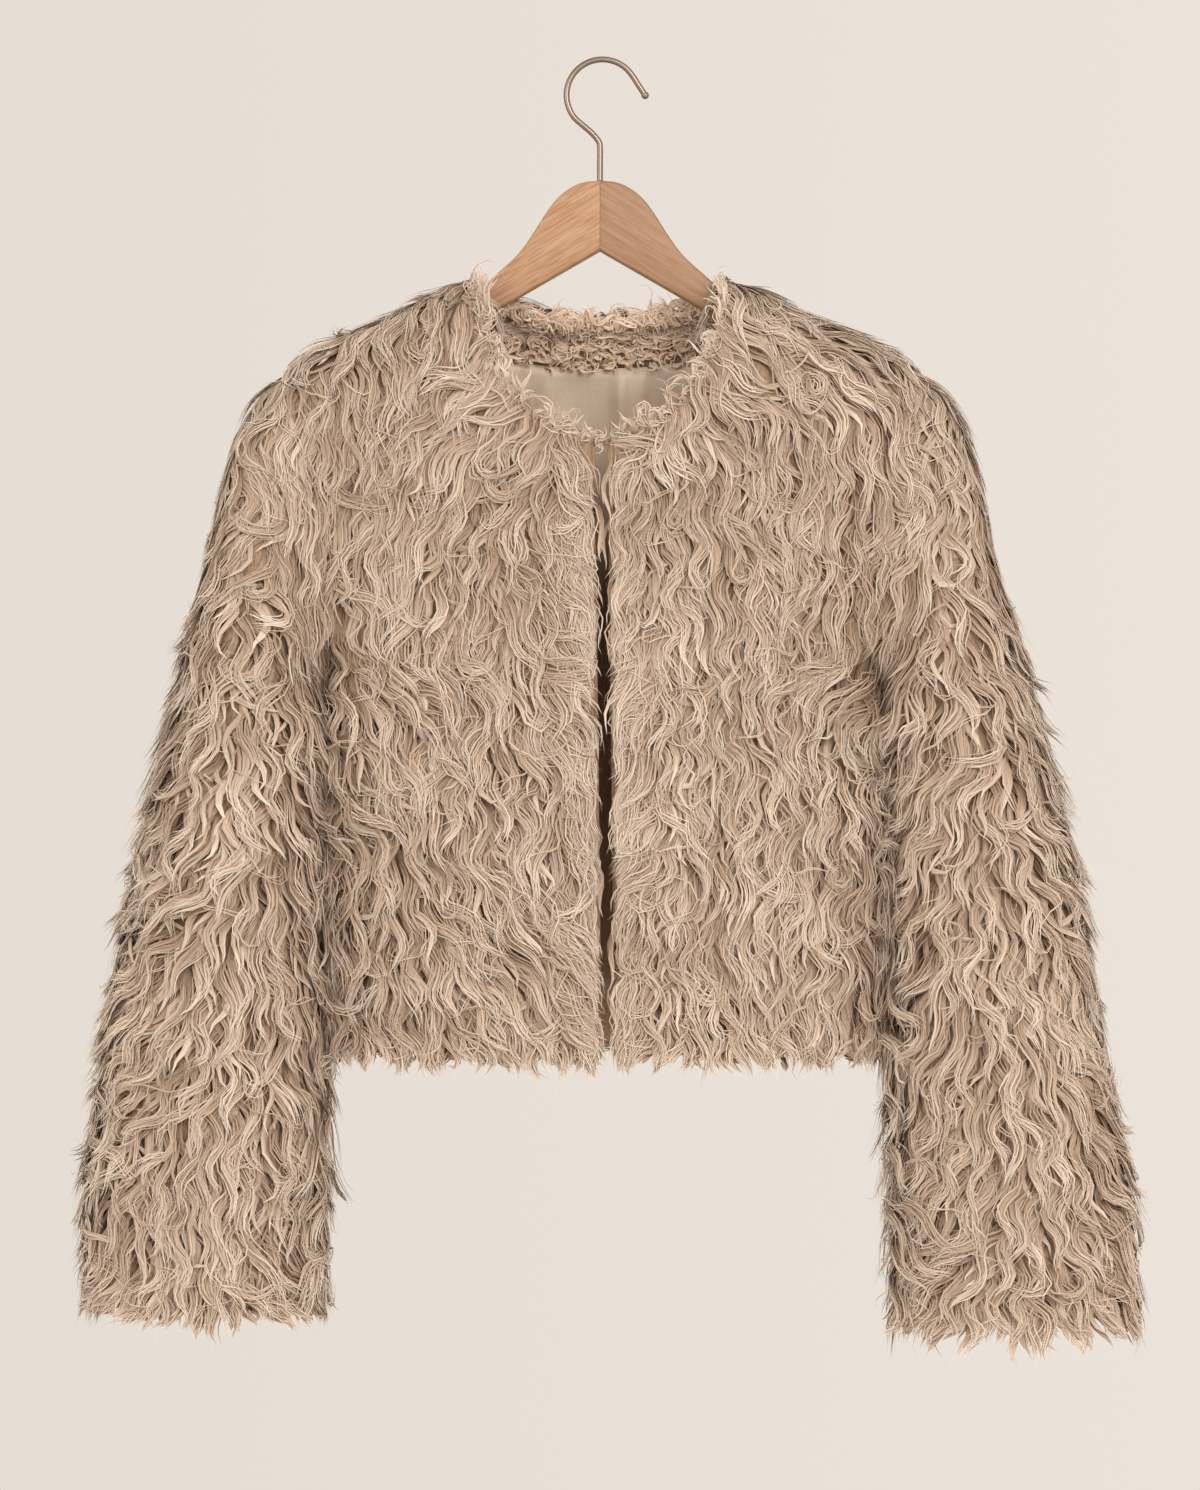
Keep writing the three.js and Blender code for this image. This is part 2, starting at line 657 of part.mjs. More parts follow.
function hookGeometry() {
  const path = hookPath();
  const section = new THREE.Shape();
  for (let k = 0; k < WIRE_SIDES; k += 1) {
    const angle = (2 * Math.PI * k) / WIRE_SIDES;
    const point = new THREE.Vector2(Math.cos(angle), Math.sin(angle)).multiplyScalar(WIRE / 2);
    if (k === 0) {
      section.moveTo(point.x, point.y);
    } else {
      section.lineTo(point.x, point.y);
    }
  }
  const wire = new THREE.ExtrudeGeometry(section, {
    steps: HOOK_STEPS,
    extrudePath: path,
    bevelEnabled: false,
  });
  const tip = new THREE.SphereGeometry(TIP_RADIUS, 12, 8);
  tip.translate(...path.getPoint(1).toArray());
  return geometryOf(solidOf(wire).add(solidOf(tip)));
}

const group = new THREE.Group();

function addPiece(name, geometry, colour, roughness, metalness = 0) {
  const material = new THREE.MeshStandardMaterial({ color: colour, roughness, metalness });
  const mesh = new THREE.Mesh(geometry, material);
  mesh.name = name;
  group.add(mesh);
}

const SIDES = { left: -1, right: 1 };
const back = backGrid();
const fronts = { left: frontGrid(SIDES.left), right: frontGrid(SIDES.right) };
const sleeves = { left: sleeveGrid(SIDES.left), right: sleeveGrid(SIDES.right) };

const normals = new Map();
addNormals(normals, back, false, -1);
for (const [name, side] of Object.entries(SIDES)) {
  addNormals(normals, fronts[name], false, side);
  addNormals(normals, sleeves[name], true, side);
}

const backOuter = pileGrid(back, 'back', normals);
const backEdges = ['first column', 'last column', 'last row'];
addPiece('back', seamedWall(back, backOuter, backEdges, BODY_SEAM_PULL, false), COLOURS.fur, 0.9);

for (const name of Object.keys(SIDES)) {
  const front = fronts[name];
  const frontEdges = ['last column', 'last row'];
  const frontOuter = pileGrid(front, 'front', normals);
  const frontWall = seamedWall(front, frontOuter, frontEdges, BODY_SEAM_PULL, false);
  addPiece(`front_${name}`, frontWall, COLOURS.fur, 0.9);

  const sleeve = sleeves[name];
  const sleeveOuter = pileGrid(sleeve, 'sleeve', normals);
  const sleeveWall = seamedWall(sleeve, sleeveOuter, ['first row'], SLEEVE_SEAM_PULL, true);
  addPiece(`sleeve_${name}`, sleeveWall, COLOURS.fur, 0.9);
}

addPiece('back_neck_facing', facingGeometry(back, normals), COLOURS.facing, 0.9);
addPiece('back_lining', liningGeometry(back, normals), COLOURS.lining, 0.45);

const board = solidOf(hangerBoard());
for (const [name, side] of Object.entries(SIDES)) {
  const arm = board.trimByPlane([side, 0, 0], MITRE_GAP / 2);
  addPiece(`hanger_arm_${name}`, geometryOf(arm), COLOURS.wood, 0.5);
}
addPiece('hook', hookGeometry(), COLOURS.hook, 0.35, 1);

export default group;
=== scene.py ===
# %% [markdown]
# # A faux fur coat on a wooden hanger
#
# The coat is cut from long-haired, wavy faux fur: locks of fine acrylic hair stand in a knitted
# backing. It hangs by its shoulders on a flat beech hanger with a wire hook.
#
# The script takes the frame, works out the backing cloth of each cut piece with numpy, grows the
# fur on it, and ends with the light and the camera. Lengths are in millimetres until a mesh is
# made.

import bpy
import numpy as np
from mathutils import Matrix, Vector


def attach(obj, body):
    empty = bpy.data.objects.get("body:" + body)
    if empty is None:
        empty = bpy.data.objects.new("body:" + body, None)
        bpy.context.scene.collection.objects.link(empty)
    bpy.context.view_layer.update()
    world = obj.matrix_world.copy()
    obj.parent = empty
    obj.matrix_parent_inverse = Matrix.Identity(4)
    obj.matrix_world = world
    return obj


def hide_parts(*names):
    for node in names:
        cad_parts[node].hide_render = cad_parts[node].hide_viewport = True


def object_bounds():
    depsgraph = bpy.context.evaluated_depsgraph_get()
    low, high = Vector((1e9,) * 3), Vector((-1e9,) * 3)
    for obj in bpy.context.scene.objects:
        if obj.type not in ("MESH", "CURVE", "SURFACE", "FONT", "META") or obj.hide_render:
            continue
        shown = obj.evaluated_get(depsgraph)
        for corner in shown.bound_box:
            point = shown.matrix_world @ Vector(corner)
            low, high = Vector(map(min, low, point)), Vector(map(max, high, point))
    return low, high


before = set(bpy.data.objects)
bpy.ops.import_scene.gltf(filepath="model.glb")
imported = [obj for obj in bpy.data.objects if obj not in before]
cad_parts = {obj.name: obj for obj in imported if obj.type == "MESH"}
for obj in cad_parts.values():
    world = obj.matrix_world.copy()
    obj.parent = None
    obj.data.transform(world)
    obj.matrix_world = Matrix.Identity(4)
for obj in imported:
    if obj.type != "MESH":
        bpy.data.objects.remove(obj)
cad_low, cad_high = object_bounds()
MM = 0.001
rng = np.random.default_rng(11)
print("frame:", len(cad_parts), "nodes, from", tuple(cad_low), "to", tuple(cad_high))

# %% [markdown]
# ## The cut of the coat
#
# The backing cloth is the surface that everything else stands on. A maker would draft it from a few
# sizes: the heights of hem, underarm and neck, the width and depth of the body at each height, and
# the two lines of the sleeve. The same sizes drive the solids in the frame, so the cloth here lies
# on theirs.

# %% Sizes of the backing, in millimetres
HEM_Z, UNDERARM_Z = -632, -385
FRONT_NECK_Z, BACK_NECK_Z, NECK_POINT_Z = -246, -163, -142.5
NECK_HALF = 80
NECK_POINT_Y, BACK_NECK_Y, FRONT_NECK_Y = 2, 34, -50
SHOULDER_X, SHOULDER_Y, SHOULDER_Z, SHOULDER_SAG = 183, 0, -194.8, 0.21
UNDERARM_X, UNDERARM_Y = 168, 8
ARMHOLE_BULGE = {"front": 46, "back": 50}
SQUARENESS = {"front": 4, "back": 2.6}
FRONT_GAP = 8
LEAN, LEAN_FROM_Z = 0.011, -170
NECK_SHARE = 0.5  # of the top edge, from the centre to the neck point
# z, half width, y of the side seam, y of the front, y of the back, slant of the front
BODY_SECTIONS = np.array([
    (-632, 188, 40, -45, 84, 0.16),
    (-560, 186, 37, -47, 87, 0.16),
    (-480, 179, 26, -48, 87, 0.13),
    (-430, 172, 16, -47, 84, 0.09),
    (-385, 168, 8, -46, 80, 0.06),
])
# overarm x and z, underarm x and z, y of the middle, half depth
SLEEVE_SECTIONS = np.array([
    (183, -194.8, 168, -385, 6, 49),
    (216, -221, 190, -397, 3, 52),
    (234, -268, 195, -412, -1, 55),
    (243, -322, 193, -437, -6, 57),
    (257, -395, 193, -474, -12, 57),
    (276, -478, 194, -528, -19, 55),
    (294, -565, 195, -594, -25, 52),
    (308, -650, 196, -664, -30, 49),
    (318, -724, 196, -730, -33, 46),
    (320, -790, 196, -790, -34, 44),
])
CUFF_Z = SLEEVE_SECTIONS[-1][1]
# How the curve of the front neck is bent, and how late it tips back onto the hanger
NECK_POWER, TIP_BACK_POWER = 0.8, 2.5
# How late the body rounds over to the shoulder seam, and how much later it does at the side
ROUND_POWER, ROUND_AT_SIDE = 2.2, 3
print("neck point to hem:", NECK_POINT_Z - HEM_Z, "mm, shoulder to cuff:", SHOULDER_Z - CUFF_Z)

# %% [markdown]
# ## Numbers between numbers
#
# A cut garment is all steps from one size to the next. Four helpers make them: a straight mix, a
# soft step, a direction of length one, and a smooth curve through the rows of a table.

# %% Small helpers for numbers
def mix(a, b, share):
    """a where share is 0, b where it is 1, and in a straight line between."""
    return a + (b - a) * share


def ease(x, low, high):
    """0 below low, 1 above high, and a smooth S between: 3 s squared less 2 s cubed."""
    s = np.clip((x - low) / (high - low), 0, 1)
    return s * s * (3 - 2 * s)


def unit(vectors):
    """Each vector divided by its length."""
    length = np.linalg.norm(vectors, axis=-1, keepdims=True)
    return vectors / np.maximum(length, 1e-9)


def through(rows, s):
    """A curve through the rows of a table, where s counts rows: on each stretch a cubic that leaves
    and meets the rows with half the step between their neighbours as its slope."""
    s = np.asarray(s, float)
    last = len(rows) - 1
    row = np.clip(np.floor(s), 0, last - 1).astype(int)
    f = (s - row)[..., None]
    before, a = rows[np.maximum(row - 1, 0)], rows[row]
    b, after = rows[row + 1], rows[np.minimum(row + 2, last)]
    leave, meet = (b - before) / 2, (after - a) / 2
    from_points = a * (2 * f**3 - 3 * f**2 + 1) + b * (3 * f**2 - 2 * f**3)
    return from_points + leave * (f**3 - 2 * f**2 + f) + meet * (f**3 - f**2)


print("a point on the middle sleeve section:", through(SLEEVE_SECTIONS, 4.5)[:4].round(1))


# %% [markdown]
# ## The body's backing
#
# Seen from above, a hanging coat is a squared-off oval: flat in front, rounder behind. Below the
# underarm a point is a place on that oval. Above it the oval closes towards the neck edge and the
# shoulder seam, which lies on the hanger.

# %% The surface of the fronts and the back
def shoulder_seam(s):
    """From the neck point (0) to the shoulder point (1), sagging a little between them."""
    sagged = s + SHOULDER_SAG * s * (1 - s)
    x = mix(NECK_HALF, SHOULDER_X, s)
    return x, mix(NECK_POINT_Y, SHOULDER_Y, s), mix(NECK_POINT_Z, SHOULDER_Z, sagged)


def top_edge(panel, u):
    """The neck edge as a quarter of an ellipse for u up to NECK_SHARE, then the shoulder seam."""
    on_neck = np.clip(u / NECK_SHARE, 0, 1)
    if panel == "front":
        angle = on_neck**NECK_POWER * np.pi / 2
        rise = 1 - np.cos(angle)
        over_hanger = 1 - np.sqrt(np.maximum(0, 1 - rise**TIP_BACK_POWER))
        y = mix(FRONT_NECK_Y, NECK_POINT_Y, over_hanger)
        z = mix(FRONT_NECK_Z, NECK_POINT_Z, rise)
    else:
        angle = on_neck * np.pi / 2
        y = mix(NECK_POINT_Y, BACK_NECK_Y, np.cos(angle))
        z = mix(NECK_POINT_Z, BACK_NECK_Z, np.cos(angle))
    neck = (NECK_HALF * np.sin(angle), y, z)
    seam = shoulder_seam(np.clip((u - NECK_SHARE) / (1 - NECK_SHARE), 0, 1))
    return [np.where(u < NECK_SHARE, a, b) for a, b in zip(neck, seam)]


def body_points(panel, u, height):
    """Backing points of the right half. u runs from the centre line (0) to the side seam (1).
    height runs from the hem (0) over the underarm (1) to the top edge (2)."""
    angle = u * np.pi / 2
    power = SQUARENESS[panel]
    size = (np.sin(angle) ** power + np.cos(angle) ** power) ** (1 / power)
    across, out = np.sin(angle) / size, np.cos(angle) / size

    low_z = mix(HEM_Z, UNDERARM_Z, np.clip(height, 0, 1))
    row = np.interp(low_z, BODY_SECTIONS[:, 0], np.arange(len(BODY_SECTIONS)))
    _, half_width, side_y, front_y, back_y, slant = np.moveaxis(through(BODY_SECTIONS, row), -1, 0)
    narrowed = 1 - slant * out if panel == "front" else 1
    out_y = front_y if panel == "front" else back_y
    low = np.stack([half_width * across * narrowed, mix(side_y, out_y, out), low_z], -1)

    t = np.clip(height - 1, 0, 1)
    facing = -1 if panel == "front" else 1
    bulge = facing * ARMHOLE_BULGE[panel] * 2 * np.sqrt(t * (1 - t))
    side_x = mix(UNDERARM_X, SHOULDER_X, t * t)
    side_y = mix(UNDERARM_Y, SHOULDER_Y, t) + bulge
    under = BODY_SECTIONS[-1]
    out_y = mix(under[3], FRONT_NECK_Y, t) if panel == "front" else under[4]
    narrowed = 1 - under[5] * (1 - t) * out if panel == "front" else 1
    top_x, top_y, top_z = top_edge(panel, u)
    round_over = (1 - np.sqrt(1 - t**ROUND_POWER)) ** (1 + ROUND_AT_SIDE * u**4)
    high = np.stack([
        mix(side_x * across * narrowed, top_x, t * t),
        mix(mix(side_y, out_y, out), top_y, round_over),
        mix(UNDERARM_Z, top_z, t),
    ], -1)
    points = np.where((height < 1)[..., None], low, high)
    if panel == "front":
        points[..., 0] += FRONT_GAP / 2 * np.maximum(0, 1 - u / NECK_SHARE) ** 2
    return points


def leaned(points):
    """The coat hangs a little to one side: a point moves across as it gets lower."""
    points[..., 0] += LEAN * (LEAN_FROM_Z - points[..., 2])
    return points


def heights(lower, upper):
    """Rows from hem to top edge: evenly up to the underarm, then by a sine, which sets them closer
    at the shoulder."""
    above = 1 + np.sin(np.pi / 2 * np.arange(upper + 1) / upper)
    return np.concatenate([np.arange(lower) / lower, above])


def front_backing(side, columns, lower, upper):
    """A front's backing as rows of points, from its front edge to the side seam."""
    height, u = np.meshgrid(heights(lower, upper), np.linspace(0, 1, columns + 1), indexing="ij")
    points = body_points("front", u, height)
    points[..., 0] *= side
    return leaned(points)


def back_backing(half_columns, lower, upper):
    """The back's backing as rows of points, from the left side seam to the right one."""
    rows = heights(lower, upper)
    height, u = np.meshgrid(rows, np.linspace(-1, 1, 2 * half_columns + 1), indexing="ij")
    points = body_points("back", np.abs(u), height)
    points[..., 0] *= np.sign(u)
    return leaned(points)


print("the back's neck edge, middle:", back_backing(4, 4, 4)[-1, 4].round(1))


# %% [markdown]
# ## The sleeve's backing
#
# A set-in sleeve is a tube whose first ring is the armhole. Each further ring is a slanted oval
# between the overarm line and the underarm line. Near the armhole the rings keep some of the
# armhole's own shape, so that the sleeve's head folds down over the underarm as cloth does.

# %% The surface of a sleeve
HEAD_REACH = 3  # sleeve sections over which a ring keeps some of the armhole's shape


def sleeve_backing(side, rings, half_around):
    """A sleeve's backing as rings of points. Round a ring, a point goes by an angle from the
    overarm line down the front to the underarm line and up the back."""
    around = 2 * half_around
    k = np.arange(around)
    s = np.linspace(0, len(SLEEVE_SECTIONS) - 1, rings + 1)

    def ovals(s):
        outer_x, outer_z, inner_x, inner_z, middle_y, half_depth = (
            through(SLEEVE_SECTIONS, s)[:, column, None] for column in range(6)
        )
        angle = 2 * np.pi * k / around
        to_outer = (1 + np.cos(angle)) / 2
        x, z = mix(inner_x, outer_x, to_outer), mix(inner_z, outer_z, to_outer)
        return np.stack(np.broadcast_arrays(x, middle_y - half_depth * np.sin(angle), z), -1)

    up_the_armhole = np.where(k <= half_around, half_around - k, k - half_around) / half_around
    height = 1 + (1 - np.cos(np.pi * up_the_armhole)) / 2
    one = np.ones(around)
    on_front = (k <= half_around)[:, None]
    front, back = (body_points(panel, one, height) for panel in ("front", "back"))
    armhole = np.where(on_front, front, back)
    keep = (1 - ease(s, 0, HEAD_REACH)) ** 2
    points = ovals(s) + (armhole - ovals(s[:1])) * keep[:, None, None]
    points[..., 0] *= side
    return leaned(points)


print("the left cuff's overarm point:", sleeve_backing(-1, 9, 8)[-1, 0].round(1))


# %% [markdown]
# ## A cloth as a grid
#
# The fur has to know, anywhere on a cloth, where the surface is, which way it faces and how far a
# step across the grid takes it. All of that is kept with the grid, and read between its points.

# %% Reading a cloth between its grid points
def make_cloth(points, closed, outward):
    """A grid with its steps along rows and columns and its normals. closed joins the last column to
    the first. outward is +1 or -1, whichever makes the normals point out of the coat."""
    if closed:
        across = (np.roll(points, -1, 1) - np.roll(points, 1, 1)) / 2
    else:
        across = np.gradient(points, axis=1)
    along = np.gradient(points, axis=0)
    normal = unit(np.cross(across, along)) * outward
    return {"points": points, "across": across, "along": along, "normal": normal, "closed": closed}


def read(cloth, what, row, column):
    """A value at a fractional row and column: the mix of the four grid points around it. A place
    past an open edge goes on in a straight line."""
    grid = cloth[what]
    rows, columns = grid.shape[:2]
    r = np.clip(np.floor(row), 0, rows - 2).astype(int)
    fr = row - r
    if cloth["closed"]:
        c = np.floor(column).astype(int)
        fc = column - c
        c, c_next = c % columns, (c + 1) % columns
    else:
        c = np.clip(np.floor(column), 0, columns - 2).astype(int)
        fc = column - c
        c_next = c + 1
    if what != "points":
        fr, fc = np.clip(fr, 0, 1), np.clip(fc, 0, 1)
    fr, fc = fr[..., None], fc[..., None]
    low = mix(grid[r, c], grid[r, c_next], fc)
    high = mix(grid[r + 1, c], grid[r + 1, c_next], fc)
    return mix(low, high, fr)


SIDES = {"left": -1, "right": 1}
cloths = {"back": make_cloth(back_backing(40, 44, 44), False, -1)}
for name, side in SIDES.items():
    cloths[f"front_{name}"] = make_cloth(front_backing(side, 44, 44, 44), False, side)
    cloths[f"sleeve_{name}"] = make_cloth(sleeve_backing(side, 96, 56), True, side)
for name, cloth in cloths.items():
    area = np.linalg.norm(np.cross(cloth["across"], cloth["along"]), axis=-1).sum()
    print(name, "has", round(area / 1e6, 3), "square metres of backing")


# %% [markdown]
# ## Materials
#
# One helper adds a node, and one turns a colour from its usual hex form to the linear values that
# the renderer works in. Every material below starts from what the real one is.

# %% Helpers for materials
def linear(hex_colour):
    """sRGB to linear: each channel over 12.92 below 0.04045, and otherwise
    ((channel + 0.055) / 1.055) to the power 2.4."""
    channels = [int(hex_colour[i : i + 2], 16) / 255 for i in (1, 3, 5)]
    values = [c / 12.92 if c <= 0.04045 else ((c + 0.055) / 1.055) ** 2.4 for c in channels]
    return (*values, 1)


def add_node(tree, kind, settings=None, stops=(), **inputs):
    """One node with its settings. stops are the positions and hex colours of a ramp. An input is a
    value, or the output of another node to link. i6 is input 6, where several have one name."""
    node = tree.nodes.new(kind)
    for name, value in (settings or {}).items():
        setattr(node, name, value)
    for k, (position, colour) in enumerate(stops):
        elements = node.color_ramp.elements
        element = elements[k] if k < len(elements) else elements.new(position)
        element.position, element.color = position, linear(colour)
    for name, value in inputs.items():
        by_number = name[0] == "i" and name[1:].isdigit()
        socket = node.inputs[int(name[1:]) if by_number else name.replace("_", " ")]
        if isinstance(value, bpy.types.NodeSocket):
            tree.links.new(value, socket)
        else:
            socket.default_value = value
    return node


def new_material(name):
    """A material with an empty tree, and its tree."""
    material = bpy.data.materials.new(name)
    material.use_nodes = True
    material.node_tree.nodes.clear()
    return material, material.node_tree


def finish_material(material, **inputs):
    """Ends a material's tree in a Principled shader with these inputs."""
    shader = add_node(material.node_tree, "ShaderNodeBsdfPrincipled", **inputs)
    add_node(material.node_tree, "ShaderNodeOutputMaterial", Surface=shader.outputs["BSDF"])
    return material


print("linear value of the fur's mid tone:", [round(c, 3) for c in linear("#b89e88")])


# %% [markdown]
# ## Curled modacrylic pile
#
# Faux fur hair is spun modacrylic, crimped and set with heat. Each hair is a little see-through and
# has a soft shine. It is dyed in one bath, yet its root lies in the shade of the pile and its worn
# tip catches the light, so a lock runs from brown to cream. The map of each strand holds its tone
# across and its length along, and the colour is worked out from these two numbers.

# %% Fur material
ROOT_TO_TIP_DARK = [(0.0, "#6d5441"), (0.3, "#866c57"), (0.62, "#99806b"), (1.0, "#ab9480")]
ROOT_TO_TIP_LIGHT = [(0.0, "#957b65"), (0.25, "#b59c87"), (0.6, "#d2bfae"), (1.0, "#f0e5da")]
FACING_DARK = [(0.0, "#967860"), (0.3, "#b39379"), (0.62, "#c3a388"), (1.0, "#cfb196")]
FACING_LIGHT = [(0.0, "#b08d70"), (0.25, "#d6b699"), (0.6, "#eed4bb"), (1.0, "#fbe9d8")]
HAIRS_OVER_THE_TONES = 64.0


def fur_material(name, root_to_tip_dark, root_to_tip_light):
    """Modacrylic, spun and crimped: the strand's tone mixes a dark and a light run of colour, and a
    row of random stripes over the tones draws the single hairs across a strand."""
    material, tree = new_material(name)
    strand = add_node(tree, "ShaderNodeUVMap", {"uv_map": "OFBake"})
    parts = add_node(tree, "ShaderNodeSeparateXYZ", Vector=strand.outputs["UV"])
    hairs = add_node(
        tree, "ShaderNodeTexNoise", {"noise_dimensions": "1D"}, W=parts.outputs["X"],
        Scale=HAIRS_OVER_THE_TONES, Detail=1.0,
    )
    swing = add_node(
        tree, "ShaderNodeMapRange", Value=hairs.outputs["Fac"],
        From_Min=0.3, From_Max=0.7, To_Min=-0.5, To_Max=0.5,
    )
    tone = add_node(
        tree, "ShaderNodeMath", {"operation": "ADD", "use_clamp": True},
        i0=parts.outputs["X"], i1=swing.outputs["Result"],
    )
    dark, light = (
        add_node(tree, "ShaderNodeValToRGB", stops=run, Fac=parts.outputs["Y"]).outputs["Color"]
        for run in (root_to_tip_dark, root_to_tip_light)
    )
    blend = add_node(
        tree, "ShaderNodeMix", {"data_type": "RGBA"}, i0=tone.outputs["Value"], i6=dark, i7=light
    )
    return finish_material(
        material, Base_Color=blend.outputs[2], Roughness=0.46, IOR=1.5,
        Sheen_Weight=0.45, Sheen_Roughness=0.5, Sheen_Tint=linear("#f3e6d8"),
    )


PILE = "Modacrylic pile, spun and heat-curled"
fur_finish = fur_material(PILE, ROOT_TO_TIP_DARK, ROOT_TO_TIP_LIGHT)
# Inside the neck the pile is lit by its own warm reflection, which a short path of light misses
facing_finish = fur_material(f"{PILE}, inside the neck", FACING_DARK, FACING_LIGHT)
print("materials:", fur_finish.name, "and", facing_finish.name)


# %% [markdown]
# ## Knitted ground and satin
#
# The pile is knitted into a polyester ground, whose own short fluff shows in the gaps between
# locks. The coat is lined with polyester satin. Both are patterns worked out over the piece,
# stretched along its length as the fibres are, and the same pattern gives colour and relief.

# %% Ground and lining materials
def ground_material():
    """Polyester, warp-knitted: the brown ground that shows only between locks, with short fluff."""
    material, tree = new_material("Polyester fur ground, warp-knitted")
    place = add_node(tree, "ShaderNodeTexCoord").outputs["Object"]
    # Its short hairs lie upright, about 0.8 mm apart and 7 mm long.
    hairs = add_node(tree, "ShaderNodeMapping", Vector=place, Scale=(1200.0, 1200.0, 140.0))
    fluff = add_node(
        tree, "ShaderNodeTexNoise", Vector=hairs.outputs["Vector"], Scale=1.0, Detail=3.0
    ).outputs["Fac"]
    browns = [(0.3, "#8d745e"), (0.55, "#a98e76"), (0.75, "#bda38b")]
    colour = add_node(tree, "ShaderNodeValToRGB", stops=browns, Fac=fluff)
    bump = add_node(tree, "ShaderNodeBump", Strength=0.25, Distance=0.002, Height=fluff)
    return finish_material(
        material, Base_Color=colour.outputs["Color"], Roughness=0.85, IOR=1.5,
        Normal=bump.outputs["Normal"],
    )


def satin_material():
    """Polyester, satin-woven: long floats give a soft, broad shine along the cloth. Low down, where
    only a stretch shows between the fronts, it has the brown of the shade that it hangs in."""
    material, tree = new_material("Polyester lining, satin-woven")
    place = add_node(tree, "ShaderNodeTexCoord").outputs["Object"]
    # Threads lie 0.12 mm apart. They are drawn as 0.6 mm streaks, the finest that shows.
    streaks = add_node(tree, "ShaderNodeMapping", Vector=place, Scale=(1600.0, 1600.0, 40.0))
    thread = add_node(
        tree, "ShaderNodeTexNoise", Vector=streaks.outputs["Vector"], Scale=1.0, Detail=2.0
    ).outputs["Fac"]
    creams = [(0.25, "#dac7b3"), (0.75, "#e4d3c2")]
    lit = add_node(tree, "ShaderNodeValToRGB", stops=creams, Fac=thread)
    height = add_node(tree, "ShaderNodeSeparateXYZ", Vector=place)
    in_light = add_node(
        tree, "ShaderNodeMapRange", Value=height.outputs["Z"],
        From_Min=-0.34, From_Max=-0.25, To_Min=0.0, To_Max=1.0,
    )
    satin = add_node(
        tree, "ShaderNodeMix", {"data_type": "RGBA"},
        i0=in_light.outputs["Result"], i6=linear("#7f6857"), i7=lit.outputs["Color"],
    )
    bump = add_node(tree, "ShaderNodeBump", Strength=0.15, Distance=0.0002, Height=thread)
    return finish_material(
        material, Base_Color=satin.outputs[2], Roughness=0.42, IOR=1.53, Anisotropic=0.4,
        Sheen_Weight=0.2, Sheen_Roughness=0.4, Normal=bump.outputs["Normal"],
    )


ground_finish = ground_material()
satin_finish = satin_material()
print("materials:", ground_finish.name, "and", satin_finish.name)


# %% [markdown]
# ## How high the pile stands
#
# The pile is tall where the coat is free. It is shorter on the shoulder and round the neck, and
# where the sleeve and the side of the body press on each other. Such things change slowly over a
# coat, so they are fields: a number at every place, worked out from the place alone.

# %% Fields over the coat
WAVES = 9  # in the sum: enough that no pattern shows


def drift(points, wavelength, seed):
    """A smooth field from about -1 to 1: the sum of nine sine waves in random directions, divided
    by the root of their number."""
    waves = np.random.default_rng(seed)
    direction = unit(waves.normal(size=(WAVES, 3))) * waves.uniform(0.7, 1.5, (WAVES, 1))
    direction = direction * 2 * np.pi / wavelength
    phase = waves.uniform(0, 2 * np.pi, WAVES)
    return np.sin(points @ direction.T + phase).sum(-1) / WAVES**0.5


def upright_x(points):
    """x before the coat's lean."""
    return points[..., 0] - LEAN * (LEAN_FROM_Z - points[..., 2])


# Shares of the pile's full height on the shoulder and at the neck
SHARE_ON_SHOULDER, SHARE_AT_NECK = 0.72, 0.6


def pile_share(points, pressed):
    """The pile's height as a share of its full height: less on the shoulder, at the neck, and
    between sleeve and side. pressed holds that last share in the fold of the underarm and below it.
    Each place is a product of soft steps in x, y and z."""
    x, y, z = np.abs(upright_x(points)), points[..., 1], points[..., 2]
    on_shoulder = ease(z, -420, -250)
    at_neck = ease(z, -200, -160) * (1 - ease(x, NECK_HALF, NECK_HALF + 45))
    reach = mix(30, 58, ease(z, -440, -400))
    beside = 1 - ease(np.abs(y - 4), reach, reach + 30)
    between = ease(x, 140, 162) * (1 - ease(x, 197, 222)) * beside
    squeezed = between * (1 - ease(z, -340, -260))
    open_pile = mix(mix(1, SHARE_ON_SHOULDER, on_shoulder), SHARE_AT_NECK, at_neck)
    return mix(open_pile, mix(*pressed, ease(-z, 362, 394)), squeezed)


print("the field's spread on the back:", drift(cloths["back"]["points"], 90, 1).std().round(2))


# %% [markdown]
# ## The backing shells
#
# Under the long hair each cut piece is a thin closed shell: the knitted ground, with its matted
# underfur outside. It is made from the same surface, with a second layer of points a few
# millimetres further out, so it closes the coat wherever the locks part.

# %% Meshes from grids
SHARP_FROM = 50  # degrees between faces


def place_mesh(mesh, materials):
    """An object of a mesh, at the origin, that stays with the part's one body."""
    for material in materials:
        mesh.materials.append(material)
    piece = bpy.data.objects.new(mesh.name, mesh)
    bpy.context.scene.collection.objects.link(piece)
    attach(piece, "root")
    return piece


def mesh_object(name, points, faces, material, flat_faces=()):
    """A smooth mesh object from points in millimetres and faces, then its flat ends."""
    mesh = bpy.data.meshes.new(name)
    mesh.from_pydata((points * MM).tolist(), [], faces.tolist() + [f.tolist() for f in flat_faces])
    mesh.polygons.foreach_set("use_smooth", np.arange(len(mesh.polygons)) < len(faces))
    if len(flat_faces):
        mesh.set_sharp_from_angle(angle=np.radians(SHARP_FROM))
    return place_mesh(mesh, [material])


